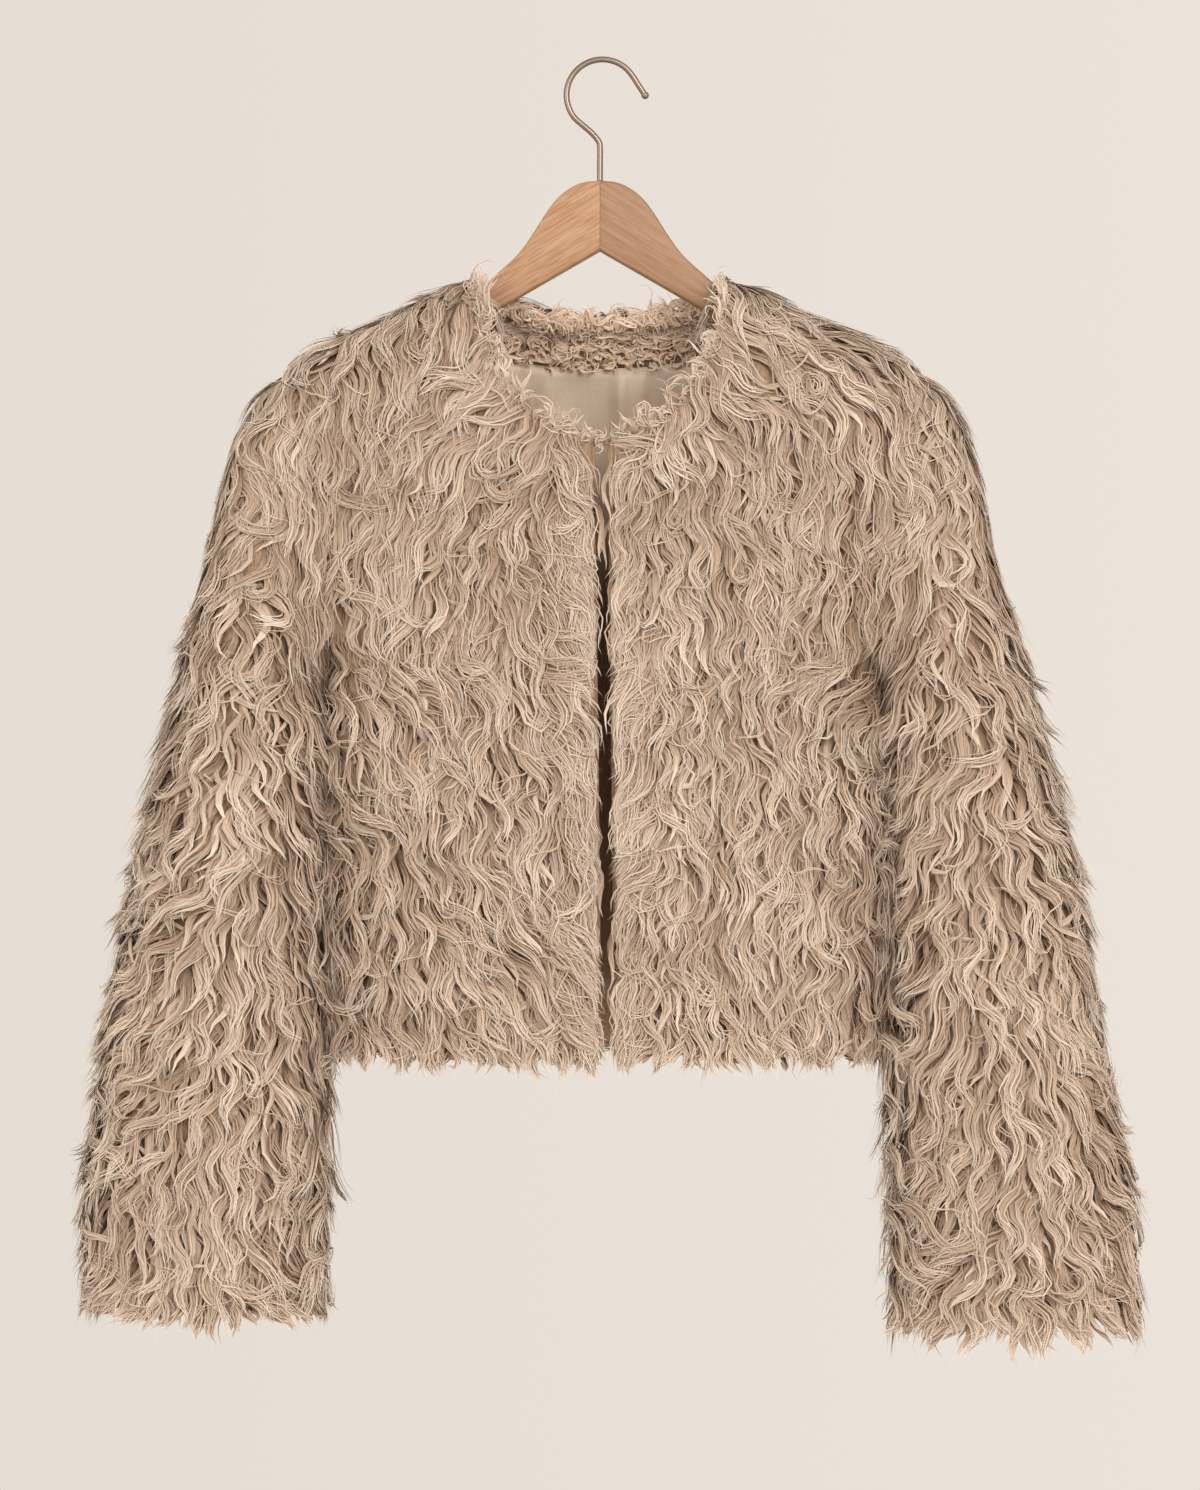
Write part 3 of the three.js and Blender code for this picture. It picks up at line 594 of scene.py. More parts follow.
def grid_faces(rows, columns, closed):
    """The cells of a grid as quads of point numbers."""
    last = columns if closed else columns - 1
    j, i = np.meshgrid(np.arange(rows - 1), np.arange(last), indexing="ij")
    here, beside = (j * columns + i).ravel(), (j * columns + (i + 1) % columns).ravel()
    return np.stack([here, beside, beside + columns, here + columns], 1)


def shell(name, inner, outer, closed, outward, finish):
    """A closed wall between two grids: outer faces, inner faces turned round, and a strip along
    every open edge. outward is -1 where the grid's own faces point into the coat."""
    rows, columns = inner.shape[:2]
    points = np.concatenate([outer.reshape(-1, 3), inner.reshape(-1, 3)])
    faces = grid_faces(rows, columns, closed)
    half = rows * columns
    count = np.arange(columns + 1) % columns if closed else np.arange(columns)
    rims = [count, (rows - 1) * columns + count[::-1]]
    if not closed:
        rims += [np.arange(rows)[::-1] * columns, np.arange(rows) * columns + columns - 1]
    strips = [np.stack([r[:-1], r[:-1] + half, r[1:] + half, r[1:]], 1) for r in rims]
    every = np.concatenate([faces, faces[:, ::-1] + half, *strips])
    if outward < 0:
        every = every[:, ::-1]
    return mesh_object(name, points, every, finish)


KNIT_THICKNESS, UNDERFUR = 1.6, 4.4
UNDERFUR_PRESSED = (0.3, 1.7)  # its share in the fold of the underarm, and below it
FREE_EDGE_SHARE = 0.3  # of the underfur that is left at a free edge, so that no thick rim shows


def underfur_share(name, shape):
    """1 in the middle of a piece, and less in the first rows and columns inside a free edge."""
    rows, columns = shape
    row, column = np.meshgrid(np.arange(rows), np.arange(columns), indexing="ij")
    from_top = rows - 1 - row
    if name.startswith("sleeve"):
        return mix(FREE_EDGE_SHARE, 1, ease(from_top, -0.5, 2))
    share = ease(row, -0.5, 2)
    if name.startswith("front"):
        share = share * ease(column, -0.5, 2)
        on_neck = column <= columns * NECK_SHARE
    else:
        on_neck = np.abs(column - columns // 2) <= columns / 2 * NECK_SHARE
    share = np.where(on_neck, share * ease(from_top, -0.5, 3), share)
    return mix(FREE_EDGE_SHARE, 1, share)


SHELL_GRIDS = {
    "back": (back_backing(20, 20, 24), False, -1),
    "front_left": (front_backing(-1, 22, 20, 24), False, -1),
    "front_right": (front_backing(1, 22, 20, 24), False, 1),
    "sleeve_left": (sleeve_backing(-1, 34, 26), True, -1),
    "sleeve_right": (sleeve_backing(1, 34, 26), True, 1),
}
for name, (points, closed, outward) in SHELL_GRIDS.items():
    normal = make_cloth(points, closed, outward)["normal"]
    matted = UNDERFUR * pile_share(points, UNDERFUR_PRESSED)
    matted = matted * underfur_share(name, points.shape[:2])
    outer = points + normal * (KNIT_THICKNESS + matted[..., None])
    shell(f"{name}_ground", points, outer, closed, outward, ground_finish)
    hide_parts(name)


# %% [markdown]
# ## How the fur lies
#
# On a real pelt cloth the hair is brushed one way, mostly down, and out from the neck over the
# shoulders. Locks wander from that line together, then curl on their own. So the lie is a smooth
# field of directions, and each lock adds its own wave to it.

# %% The lie, and a step along it
OUT_ON_SHOULDER = 0.4  # how far out the lie goes on the shoulder, for each step down
MIDDLE_BLEND = 40  # over which it turns from one side to the other, across the coat's middle
MOST_CELLS = 9  # that one step may cross where the grid is very fine


def lie(cloth, row, column, turn):
    """Directions in the cloth at a place: along the lie, across it, and out of the cloth. The lie
    is down, and outward on the shoulders, laid into the cloth, then turned by an angle in it."""
    point = read(cloth, "points", row, column)
    normal = unit(read(cloth, "normal", row, column))
    outward = ease(point[..., 2], -330, -190) * np.tanh(upright_x(point) / MIDDLE_BLEND)
    down = np.stack([OUT_ON_SHOULDER * outward, 0 * outward, -np.ones_like(outward)], -1)
    down = unit(down - normal * (down * normal).sum(-1, keepdims=True))
    aside = np.cross(normal, down)
    cos, sin = np.cos(turn)[..., None], np.sin(turn)[..., None]
    return down * cos + aside * sin, aside * cos - down * sin, normal


def stepped(cloth, row, column, direction, length):
    """Row and column after a step: the step's lengths along the grid's two directions solve the two
    equations that match it in the cloth."""
    across = read(cloth, "across", row, column)
    along = read(cloth, "along", row, column)
    aa, ab, bb = (across**2).sum(-1), (across * along).sum(-1), (along**2).sum(-1)
    da, db = (direction * across).sum(-1), (direction * along).sum(-1)
    size = np.maximum(aa * bb - ab * ab, 1e-3 * aa * bb + 1e-6)
    columns = np.clip((da * bb - db * ab) / size * length, -MOST_CELLS, MOST_CELLS)
    rows = np.clip((db * aa - da * ab) / size * length, -MOST_CELLS, MOST_CELLS)
    return row + rows, column + columns


down, aside, normal = lie(cloths["back"], np.array([20.0]), np.array([40.0]), np.zeros(1))
print("the lie at the middle of the back:", down[0].round(2))


# %% [markdown]
# ## Locks and strands
#
# A particle system could grow this fur, but its hairs are not part of a mesh and would be lost
# outside Blender. Here each lock is a path in the cloth, found step by step. Broad flat strands
# along the path are the body of the lock, with hairs drawn across them, and narrow ones lie on top
# as its loose hairs. All of them close up towards the tip and end in a point. Their normals fan out
# across them, so that each shades as if it were round.

# %% Places for the locks
EVEN_STEPS = 0.7548776662, 0.5698402910  # their multiples fill a square evenly


def spread(cloth, spacing, seed):
    """Places spread evenly by area: the cells' running areas are met with two even sequences, the
    multiples of two irrational numbers, so no two places fall together."""
    cell = np.linalg.norm(np.cross(cloth["across"], cloth["along"]), axis=-1)
    count = int(cell.sum() / spacing**2)
    k = np.arange(1, count + 1) + seed
    first, second = ((k * step) % 1 for step in EVEN_STEPS)
    by_row = np.cumsum(cell.sum(1))
    row = np.interp(first * by_row[-1], np.concatenate([[0], by_row]), np.arange(len(by_row) + 1))
    row = np.clip(row - 0.5, 0, len(by_row) - 1)
    by_column = np.cumsum(cell, 1)[np.round(row).astype(int)]
    share = second * by_column[:, -1]
    column = (by_column < share[:, None]).sum(1)
    before = np.where(column > 0, by_column[np.arange(count), np.maximum(column - 1, 0)], 0)
    inside = (share - before) / np.maximum(by_column[np.arange(count), column] - before, 1e-9)
    column = column + inside - 0.5
    if not cloth["closed"]:
        column = np.clip(column, 0, cell.shape[1] - 1)
    return row, column


def places_on_edge(line, spacing):
    """Fractional places along a line of points, evenly apart by length."""
    length = np.concatenate([[0], np.cumsum(np.linalg.norm(np.diff(line, axis=0), axis=1))])
    wanted = np.arange(spacing / 2, length[-1], spacing)
    return np.interp(wanted, length, np.arange(len(length)))


LOCK_SPACING, UNDERCOAT_SPACING, CURL_SPACING, EDGE_SPACING = 14.0, 9.6, 23.0, 6.0
print("a front has room for", len(spread(cloths["front_left"], LOCK_SPACING, 0)[0]), "locks")


# %% [markdown]
# A lock's path has to follow the cloth round the body and still wave. At every step it turns
# within the cloth and goes on a few millimetres.

# %% The path of each lock
def grow_locks(cloth, row, column, along, turn, length, wave, wavelength, phase, ring):
    """The path of each lock, at shares of its length given by along. At every step its direction is
    the lie, turned by the lock's own angle, a sine wave along it, and a ring curl that tightens
    towards the tip."""
    paths, frames = [], []
    for k, share in enumerate(along):
        swing = wave * np.sin(2 * np.pi * share * length / wavelength + phase)
        swing = swing * ease(share, 0, 0.25)
        ahead, aside, normal = lie(cloth, row, column, turn + swing + ring * share**2.5)
        paths.append(read(cloth, "points", row, column))
        frames.append((ahead, aside, normal))
        if k + 1 < len(along):
            row, column = stepped(cloth, row, column, ahead, (along[k + 1] - share) * length)
    ahead, aside, normal = (np.stack(f, 1) for f in zip(*frames))
    path = np.stack(paths, 1)
    return {"path": path, "ahead": ahead, "aside": aside, "normal": normal, "along": along}


# %% [markdown]
# Each kind of strand has its own make-up: how many lie in a lock, how far from its middle they are
# rooted, how broad they are, how many of the fur's tones lie across one, how high it lies in the
# pile, from lowest to highest, and how far its tip strays. Sizes are in millimetres.

# %% Strands of the locks
def kind_of_strand(strands, radius, width, tones, rank, strays):
    """The make-up of one kind of strand, by name."""
    return {
        "strands": strands, "radius": radius, "width": width, "tones": tones, "rank": rank,
        "strays": strays,
    }


LOCK_BODY = kind_of_strand(4, 5.4, 3.0, 0.07, (0.6, 0.95), 1.1)
LOCK_HAIRS = kind_of_strand(8, 7.2, 1.05, 0.012, (0.8, 1.15), 1.8)
UNDERCOAT = kind_of_strand(1, 3.0, 5.6, 0.09, (0.3, 0.55), 0.9)
LOOSE_CURL = kind_of_strand(2, 1.6, 0.8, 0.02, (0.95, 1.25), 1.2)
MAKES = {"lock": [LOCK_BODY, LOCK_HAIRS], "under": [UNDERCOAT], "curl": [LOOSE_CURL]}
CLOSING = 0.76  # how much of its distance from the path a strand has lost at its tip
OWN_WAVES, ROLL = 1.3, 0.26  # waves of its own, and radians that it rolls over, more or less
TAPER_AT, TAPER = [0, 0.3, 0.72, 1], [0.8, 1, 0.7, 0]  # share along, and share of the width there


def strands_of(lock, kind, ground, height, flare):
    """Ribbon points and normals. A strand starts beside its lock's path, closes up to it by its
    tip, rises over the ground to the pile's height and may wave a little by itself. flare lifts the
    lock's tip off the pile."""
    along = lock["along"]
    count = len(lock["path"]) * kind["strands"]
    pick = np.repeat(np.arange(len(lock["path"])), kind["strands"])
    angle = rng.uniform(0, 2 * np.pi, count)
    reach = kind["radius"] * np.sqrt(rng.uniform(0, 1, count))
    closing = (1 - CLOSING * along**1.3) * np.ones((count, 1))
    strayed = rng.normal(0, kind["strays"], (count, 2))
    own_phase = rng.uniform(0, 2 * np.pi, (count, 1))
    swing = np.sin(2 * np.pi * along * OWN_WAVES + own_phase)
    own_wave = rng.uniform(0.1, 0.9, (count, 1)) * swing * along
    sideways = (reach * np.cos(angle))[:, None] * closing + strayed[:, :1] * along**2 + own_wave
    forward = (reach * np.sin(angle))[:, None] * closing + strayed[:, 1:] * 3 * along**2
    # Steep at the root and level further on. Then the lock's flare, chance, and the ground's height
    rise = 1 - (1 - along) ** 3.2
    lift = height[pick][:, None] * rise * rng.uniform(*kind["rank"], (count, 1))
    lift = lift + flare[pick][:, None] * along**3 + rng.normal(0, 1.2, (count, 1)) * along**2
    lift = np.maximum(lift, 0.5) + ground[pick][:, None]
    lift[:, 0] = 0.8 * ground[pick]
    n, a, f = lock["normal"][pick], lock["aside"][pick], lock["ahead"][pick]
    points = lock["path"][pick] + sideways[..., None] * a + forward[..., None] * f
    points = points + lift[..., None] * n
    tangent = unit(np.gradient(points, axis=1))
    roll = rng.normal(0, ROLL, count)[:, None, None]
    # Across the strand and out of it, rolled a little about its own line
    side = unit(np.cross(tangent, n))
    up = np.cross(side, tangent)
    side, up = side * np.cos(roll) + up * np.sin(roll), up * np.cos(roll) - side * np.sin(roll)
    taper = np.interp(along, TAPER_AT, TAPER)
    strands = {
        "points": points, "side": side, "up": up, "along": along,
        "half_width": kind["width"] / 2 * rng.uniform(0.7, 1.3, (count, 1)) * taper,
        "tones": kind["tones"] * rng.choice([-1.0, 1.0], count),
    }
    return strands, pick


print("a lock has", sum(kind["strands"] for kind in MAKES["lock"]), "strands")


def chosen_strands(strands, chosen):
    """The strands with these numbers."""
    return {key: value if key == "along" else value[chosen] for key, value in strands.items()}


# %% [markdown]
# All the strands of a piece are one mesh, written as whole arrays, because an object for each of
# thousands of strands would be slow to make and to draw.

# %% The mesh of the strands
FAN = 0.5  # how far the normals of a ribbon's two sides lean apart
# A round hair always turns a lit side to the viewer, which a flat ribbon on the coat's flank
# doesn't, so the normals keep only this share of their sideways part
KEEP_OF_NORMAL = np.array([0.4, 1.0, 1.0])


def ribbon_mesh(name, sets, finish):
    """Joined ribbons: two points across at each place but one at the tip, quads between them and a
    triangle at the end. The map holds the strand's tones across and its share of length along,
    which starts at its shade and not at 0 where light gets down to the roots."""
    vertices, normals, corners, sizes, maps = [], [], [], [], []
    first = 0
    for s in sets:
        count, places = s["points"].shape[:2]
        wide = s["side"] * s["half_width"][..., None]
        pairs = np.stack([s["points"] - wide, s["points"] + wide], 2)[:, :-1].reshape(count, -1, 3)
        vertices.append(np.concatenate([pairs, s["points"][:, -1:]], 1).reshape(-1, 3))
        up = unit(s["up"] * KEEP_OF_NORMAL)
        lean = np.stack([unit(up - FAN * s["side"]), unit(up + FAN * s["side"])], 2)
        lean = lean[:, :-1].reshape(count, -1, 3)
        normals.append(np.concatenate([lean, up[:, -1:]], 1).reshape(-1, 3))
        per = 2 * places - 1
        k = 2 * np.arange(places - 2)
        quads = np.stack([k, k + 1, k + 3, k + 2], 1).ravel()
        pattern = np.concatenate([quads, [per - 3, per - 2, per - 1]])
        corners.append((first + per * np.arange(count)[:, None] + pattern).ravel())
        sizes.append(np.tile([4] * (places - 2) + [3], count))
        edge = np.concatenate([np.tile([-0.5, 0.5], places - 1), [0]])
        tones = (s["tone"][:, None] + s["tones"][:, None] * edge).ravel()
        length_at = np.concatenate([np.repeat(s["along"][:-1], 2), [1]])
        lengths = 1 - (1 - s["shade"][:, None]) * (1 - length_at)
        maps.append(np.stack([tones, lengths.ravel()], 1))  # the map's x and y
        first += count * per
    vertices, normals, maps, corners, sizes = (
        np.concatenate(parts) for parts in (vertices, normals, maps, corners, sizes)
    )
    starts = np.concatenate([[0], np.cumsum(sizes)[:-1]]).astype(np.int32)

    mesh = bpy.data.meshes.new(name)
    mesh.vertices.add(len(vertices))
    mesh.vertices.foreach_set("co", (vertices * MM).astype(np.float32).ravel())
    mesh.loops.add(len(corners))
    mesh.loops.foreach_set("vertex_index", corners.astype(np.int32))
    mesh.polygons.add(len(sizes))
    mesh.polygons.foreach_set("loop_start", starts)
    mesh.update(calc_edges=True)
    layer = mesh.uv_layers.new(name="OFBake")
    layer.data.foreach_set("uv", maps[corners].astype(np.float32).ravel())
    mesh.polygons.foreach_set("use_smooth", np.ones(len(sizes), bool))
    mesh.normals_split_custom_set_from_vertices(normals.tolist())
    print(name, "has", int((sizes - 2).sum()), "triangles")
    return place_mesh(mesh, [finish])


print("a ribbon's normals lean", round(np.degrees(np.arctan(FAN))), "degrees to each side")


# %% [markdown]
# ## Growing the coat's fur
#
# The numbers here are what a furrier would read off the cloth: locks 14 mm apart over an undercoat
# 9.6 mm apart, hair 46 to 70 mm long, a wave every 43 mm or so, and now and then a lock that has
# curled into a ring. The front edges, the neck edge and the shoulder seams get a row of locks of
# their own. A few fine curls lie loose on top.

# %% Sizes of the fur
ALONG_A_LOCK = np.array([0, 0.13, 0.26, 0.39, 0.52, 0.64, 0.76, 0.88, 1.0])
ALONG_A_CURL = np.linspace(0, 1, 13)
HAIR_LENGTH, WAVE_LENGTH = (46, 70), 43
WAVE_SWING = (0.3, 0.7)  # radians that a wave turns the hair by, weakest and strongest
RING_SHARE, CURL_RING_SHARE = 0.03, 0.55  # of the locks and of the loose curls close into a ring
PILE_HEIGHT, TIP_FLARE = 11.0, 10.0
HAIR_PRESSED = (0.95, 1.45)  # share of the pile's height in the fold of the underarm, and below it
SLEEVE_HEAD_RADIUS = 28
FINE = 2  # millimetres: a strand under this width is drawn as a single hair
CROSSING_SHARE = 0.06  # of the strands beside the front gap
# How far below the cloth's end the hair reaches, shortest and longest
OVERHANG = {
    "back": (4, 12), "front_left": (4, 12), "front_right": (4, 12),
    "sleeve_left": (6, 17), "sleeve_right": (14, 34),
}
# Where the pile lies flatter than elsewhere: the piece, the middle of the place across and up, how
# far it reaches across and up, and the share of the pile that is left
FLATTER = [
    ("sleeve_right", 330, -585, 70, 85, 0.3), ("sleeve_right", 240, -265, 50, 60, 0.35),
    ("sleeve_left", -160, -755, 40, 75, 0.2), ("sleeve_left", -230, -230, 50, 60, 0.3),
]
PIECES = {"back": 2, "front_left": 1, "front_right": 1, "sleeve_left": 2, "sleeve_right": 2}
SLEEVE_FAN = 0.45  # radians that the lie turns away from a sleeve's middle line at its edges
FRONT_EDGE_TURN = 0.45  # radians that the lie turns over a front edge, towards the gap
# How far the lie turns towards the viewer's right, in radians, on each piece
LEANING = {
    "back": 0, "front_left": 0.2, "front_right": -0.06, "sleeve_left": -0.05, "sleeve_right": 0.05,
}
TONE = {
    "back": 0.5, "front_left": 0.47, "front_right": 0.5, "sleeve_left": 0.55, "sleeve_right": 0.57,
}
DARKEST, LIGHTEST = 0.04, 0.96  # tones that a strand may have
print("hair:", *HAIR_LENGTH, "mm long, in", sum(PIECES.values()), "objects")


# %% [markdown]
# Evenly spread roots leave the edges thin, so the edges get their own. Near an edge a lock also
# acts otherwise than in the middle of the cloth, so each root knows how near it is.

# %% Roots along the edges
def edge_roots(name, cloth, spacing):
    """A row of roots close inside the neck edge and the shoulder seam, and one inside the front
    edge. Each root is evenly apart from the next, and a random way in from the edge."""
    if name.startswith("sleeve"):
        return np.zeros(0), np.zeros(0)
    column = places_on_edge(cloth["points"][-1], spacing)
    row = cloth["points"].shape[0] - 1 - rng.uniform(0, 2.5, len(column))
    if name.startswith("front"):
        down_front = places_on_edge(cloth["points"][:, 0], spacing)
        row = np.concatenate([row, down_front])
        column = np.concatenate([column, rng.uniform(0, 1.0, len(down_front))])
    return row, column


def nearness(name, cloth, row, column):
    """Each root, and how near it is to the neck edge and to the front edge, 1 at the edge and 0
    away from it."""
    root = read(cloth, "points", row, column)
    if name.startswith("sleeve"):
        return root, np.zeros(len(row)), np.zeros(len(row))
    top = read(cloth, "points", np.full(len(row), cloth["points"].shape[0] - 1.0), column)
    x = np.abs(upright_x(root))
    inside_neck = 1 - ease(x, NECK_HALF - 6, NECK_HALF + 16)
    neck = (1 - ease(np.linalg.norm(root - top, axis=1), 3, 20)) * inside_neck
    front = (1 - ease(x, 6, 42)) if name.startswith("front") else np.zeros(len(row))
    return root, neck, front


down_front = places_on_edge(cloths["front_left"]["points"][:, 0], EDGE_SPACING)
print("a front edge has", len(down_front), "locks of its own")


# %% [markdown]
# Neighbouring locks must do nearly the same, or the fur looks combed by a storm. So the lie, the
# wave and the tone drift together over the cloth, and each lock adds only a little of its own.

# %% Where the fur lies flatter or droops
def flatter(name, root):
    """The share of the pile's height that is left at each root: less by a bell curve round each
    flatter place of this piece."""
    share = np.ones(len(root))
    for piece, x, z, reach_x, reach_z, left in FLATTER:
        across, up = (upright_x(root) - x) / reach_x, (root[:, 2] - z) / reach_z
        share *= mix(1, left, np.exp(-(across**2) - up**2) * (piece == name))
    return share


def droop_past_the_shoulder(path):
    """Lowers what runs on past the shoulder point, by the square of how far it does, as the round
    head of the sleeve falls away below it."""
    past = np.maximum(0, np.abs(upright_x(path)) - SHOULDER_X + 5)
    path[..., 2] -= past**2 / (2 * SLEEVE_HEAD_RADIUS) * ease(path[:, :1, 2], -300, -240)


flattest = flatter("sleeve_left", np.array([[-160.0, 0.0, -755.0]]))
print("inside the left cuff the pile keeps", flattest.round(2), "of its height")


# %% [markdown]
# A lock first gets its path: which way it sets off, how long it is, how it waves and whether it
# closes into a ring. Each of these is the field at its root and a little chance. After that come
# how high it stands, how far its tip lifts off, and its tone, and the strands are laid round it.

# %% What each lock does
def lock_turns(name, cloth, root, place, neck, front, seed):
    """The angle that each lock's lie is turned by: drifting fields, the piece's own leaning, a fan
    away from a sleeve's middle line, and at a front edge a turn towards the gap. Also 1 at a
    sleeve's outer line and -1 at its inner one. place holds the rows and the columns."""
    count = len(root)
    normal = unit(read(cloth, "normal", *place))
    facing, hanging = -np.sign(normal[:, 1]), ease(-root[:, 2], 250, 380)
    turn = 0.32 * drift(root, 110, seed + 1) + 0.14 * drift(root, 45, seed + 2)
    turn = turn + rng.normal(0, 0.12, count)
    turn = turn + LEANING[name] * facing * hanging + neck * rng.normal(0, 0.5, count)
    if name.startswith("front"):
        turn = turn - SIDES[name.split("_")[1]] * front * FRONT_EDGE_TURN
    if not name.startswith("sleeve"):
        return turn, np.zeros(count)
    outer = np.cos(2 * np.pi * place[1] / cloth["points"].shape[1])
    return turn + SLEEVE_FAN * SIDES[name.split("_")[1]] * facing * outer * hanging, outer


def grow_set(name, row, column, along, seed, kind):
    """Strands on one piece from these roots. kind is lock, under for the undercoat, or curl."""
    cloth = cloths[name]
    count = len(row)
    root, neck, front = nearness(name, cloth, row, column)
    turn, outer = lock_turns(name, cloth, root, (row, column), neck, front, seed)
    share = pile_share(root, HAIR_PRESSED)
    ground = KNIT_THICKNESS + UNDERFUR * pile_share(root, UNDERFUR_PRESSED)
    # Hair is shorter where the pile is low and at the neck, and ends a little below the cloth
    length = rng.uniform(*HAIR_LENGTH, count) * mix(0.6, 1, share.clip(0, 1)) * mix(1, 0.7, neck)
    over_end = root[:, 2] - (CUFF_Z if name.startswith("sleeve") else HEM_Z)
    length = np.minimum(length, 1.06 * over_end + rng.uniform(*OVERHANG[name], count))
    wave = rng.uniform(*WAVE_SWING, count)
    wavelength = WAVE_LENGTH * rng.uniform(0.88, 1.12, count)
    # Waves of the same height on the coat keep step, so that they run across many locks
    together = -2 * np.pi * root[:, 2] / WAVE_LENGTH + 2.4 * drift(root, 90, seed + 4)
    phase = together + rng.normal(0, 0.4, count)
    ring_share = RING_SHARE
    if kind == "curl":
        wave, wavelength, ring_share = wave * 1.5, wavelength * 0.7, CURL_RING_SHARE
        phase = rng.uniform(0, 2 * np.pi, count)
    # Few locks turn far enough to close into a ring, and the rest only bend
    turns = rng.uniform(2.4, 5.2, count) * rng.choice([-1, 1], count)
    ring = np.where(rng.random(count) < ring_share, turns, rng.uniform(-0.4, 0.4, count))
    ring = ring * mix(1, 0.5, neck)
    lock = grow_locks(cloth, row, column, along, turn, length, wave, wavelength, phase, ring)
    if not name.startswith("sleeve"):
        droop_past_the_shoulder(lock["path"])
    # Tips lift off the pile, but less near hem and cuff, where it lies flatter, and on the shoulder
    height = PILE_HEIGHT * share * rng.uniform(0.66, 1.08, count) * flatter(name, root)
    flare = TIP_FLARE * share * rng.uniform(0, 1, count) ** 2 * mix(0.2, 1, ease(over_end, 20, 90))
    on_top = ease(root[:, 2], -270, -190)
    flare = flare * flatter(name, root) * mix(1, 0.4, on_top) * mix(1, 1.3, ease(outer, 0.5, 1))
    # Light gets down to the roots at the neck and on top, so their colour starts further along
    shade = np.maximum(0.45 * neck, 0.2 * on_top)
    tone = TONE[name] + 0.13 * drift(root, 60, seed + 3) + rng.normal(0, 0.1, count)
    # Painted shade: the tone darkens up towards the shoulders, whose top faces up into more of the
    # light
    tone = tone - 0.2 * ease(root[:, 2], -380, -230)
    sets = []
    for make in MAKES[kind]:
        found, pick = strands_of(lock, make, ground, height, flare)
        # Fine hairs on top catch more light than the broad strands under them
        own = rng.normal(0.17 if make["width"] < FINE else -0.05, 0.13, len(pick))
        found["tone"] = np.clip(tone[pick] + own, DARKEST, LIGHTEST)
        found["shade"] = shade[pick]
        sets.append(found)
    return sets


def keep_front_edge(points, side):
    """Moves whole strands that would close the front gap: each has its own limit, and moves back by
    as much as its nearest point lies past it. A few may cross further."""
    count = len(points)
    crossing = rng.random(count) < CROSSING_SHARE
    limit = np.where(crossing, rng.uniform(0, 4, count), rng.uniform(4.8, 9, count))
    past = np.maximum(0, limit - (side * upright_x(points)).min(1))
    points[..., 0] += side * (past * ease(-points[:, 0, 2], 208, 242))[:, None]


print("at its strongest a wave turns the hair", round(np.degrees(WAVE_SWING[1])), "degrees")


# %% [markdown]
# The back and the sleeves are split in two by height, so that each object stays a size that is
# quick to handle.

# %% Fur of each cut piece
furs = {}
for number, (name, parts) in enumerate(PIECES.items()):
    seed = 100 * (number + 1)
    cloth = cloths[name]
    edge = edge_roots(name, cloth, EDGE_SPACING)
    row, column = (np.concatenate(both) for both in zip(spread(cloth, LOCK_SPACING, seed), edge))
    sets = grow_set(name, row, column, ALONG_A_LOCK, seed, "lock")
    under = spread(cloth, UNDERCOAT_SPACING, seed + 50)
    sets += grow_set(name, *under, ALONG_A_LOCK, seed, "under")
    sets += grow_set(name, *spread(cloth, CURL_SPACING, seed), ALONG_A_CURL, seed, "curl")
    if name.startswith("front"):
        for strands in sets:
            keep_front_edge(strands["points"], SIDES[name.split("_")[1]])
    furs[name] = []
    rising = [np.argsort(strands["points"][:, 0, 2]) for strands in sets]
    for part in range(parts):
        chosen = [
            chosen_strands(strands, np.array_split(order, parts)[part])
            for strands, order in zip(sets, rising)
        ]
        piece = ribbon_mesh(f"{name}_fur_{part + 1}", chosen, fur_finish)
        furs[name].append(piece)


# %% [markdown]
# ## Inside the back neck
#
# A coat is finished inside the neck with a facing in its own fur, sewn on above the satin lining.
# The facing's hair is short and curls, and stops at the seam.

# %% The facing's ground
# The cut has 13 steps between underarm and neck edge, of which the facing takes the last three
NECK_STEPS, FACING_FROM = 13, 10
FACING_OFF_BACK, FACING_DEPTH = 0.5, 2.0
facing_steps = np.linspace(FACING_FROM, NECK_STEPS, 13)
facing_rows = 1 + (1 - np.cos(np.pi * facing_steps / NECK_STEPS)) / 2
facing_u = np.linspace(-0.4, 0.4, 33)


def inside_back(height, u, distance):
    """Points inside the back: the back's own points, moved in along its normal by a distance."""
    height, u = np.meshgrid(height, u, indexing="ij")
    points = body_points("back", np.abs(u), height)
    points[..., 0] *= np.sign(u)
    points = leaned(points)
    normal = make_cloth(points, False, -1)["normal"]
    return points - normal * distance


facing_near = inside_back(facing_rows, facing_u, FACING_OFF_BACK)
facing_far = inside_back(facing_rows, facing_u, FACING_OFF_BACK + FACING_DEPTH)
facing_ground = shell("back_neck_facing_ground", facing_near, facing_far, False, 1, ground_finish)
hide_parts("back_neck_facing")
print("the facing is", round(float(np.ptp(facing_near[..., 2])), 1), "mm high")

# %% [markdown]
# The facing's locks are shorter and curl more. Those along the top stand up and lean over the rim,
# so that the facing and the coat look like one fur there. They stand on a narrow strip that goes on
# upward from the facing's top edge.

# %% The facing's fur
FACING_BODY = kind_of_strand(2, 2.4, 2.8, 0.09, (0.6, 1.0), 1.2)
FACING_HAIRS = kind_of_strand(3, 3.6, 1.0, 0.03, (0.8, 1.3), 2.0)
FACING_SPACING, RIM_SPACING = 5.4, 1.8
# Painted light: the facing's hair takes light tones against the shade inside the neck, and its
# colour starts halfway along its run, so its roots carry less painted shade
FACING_TONE, FACING_SHADE = 0.8, 0.5
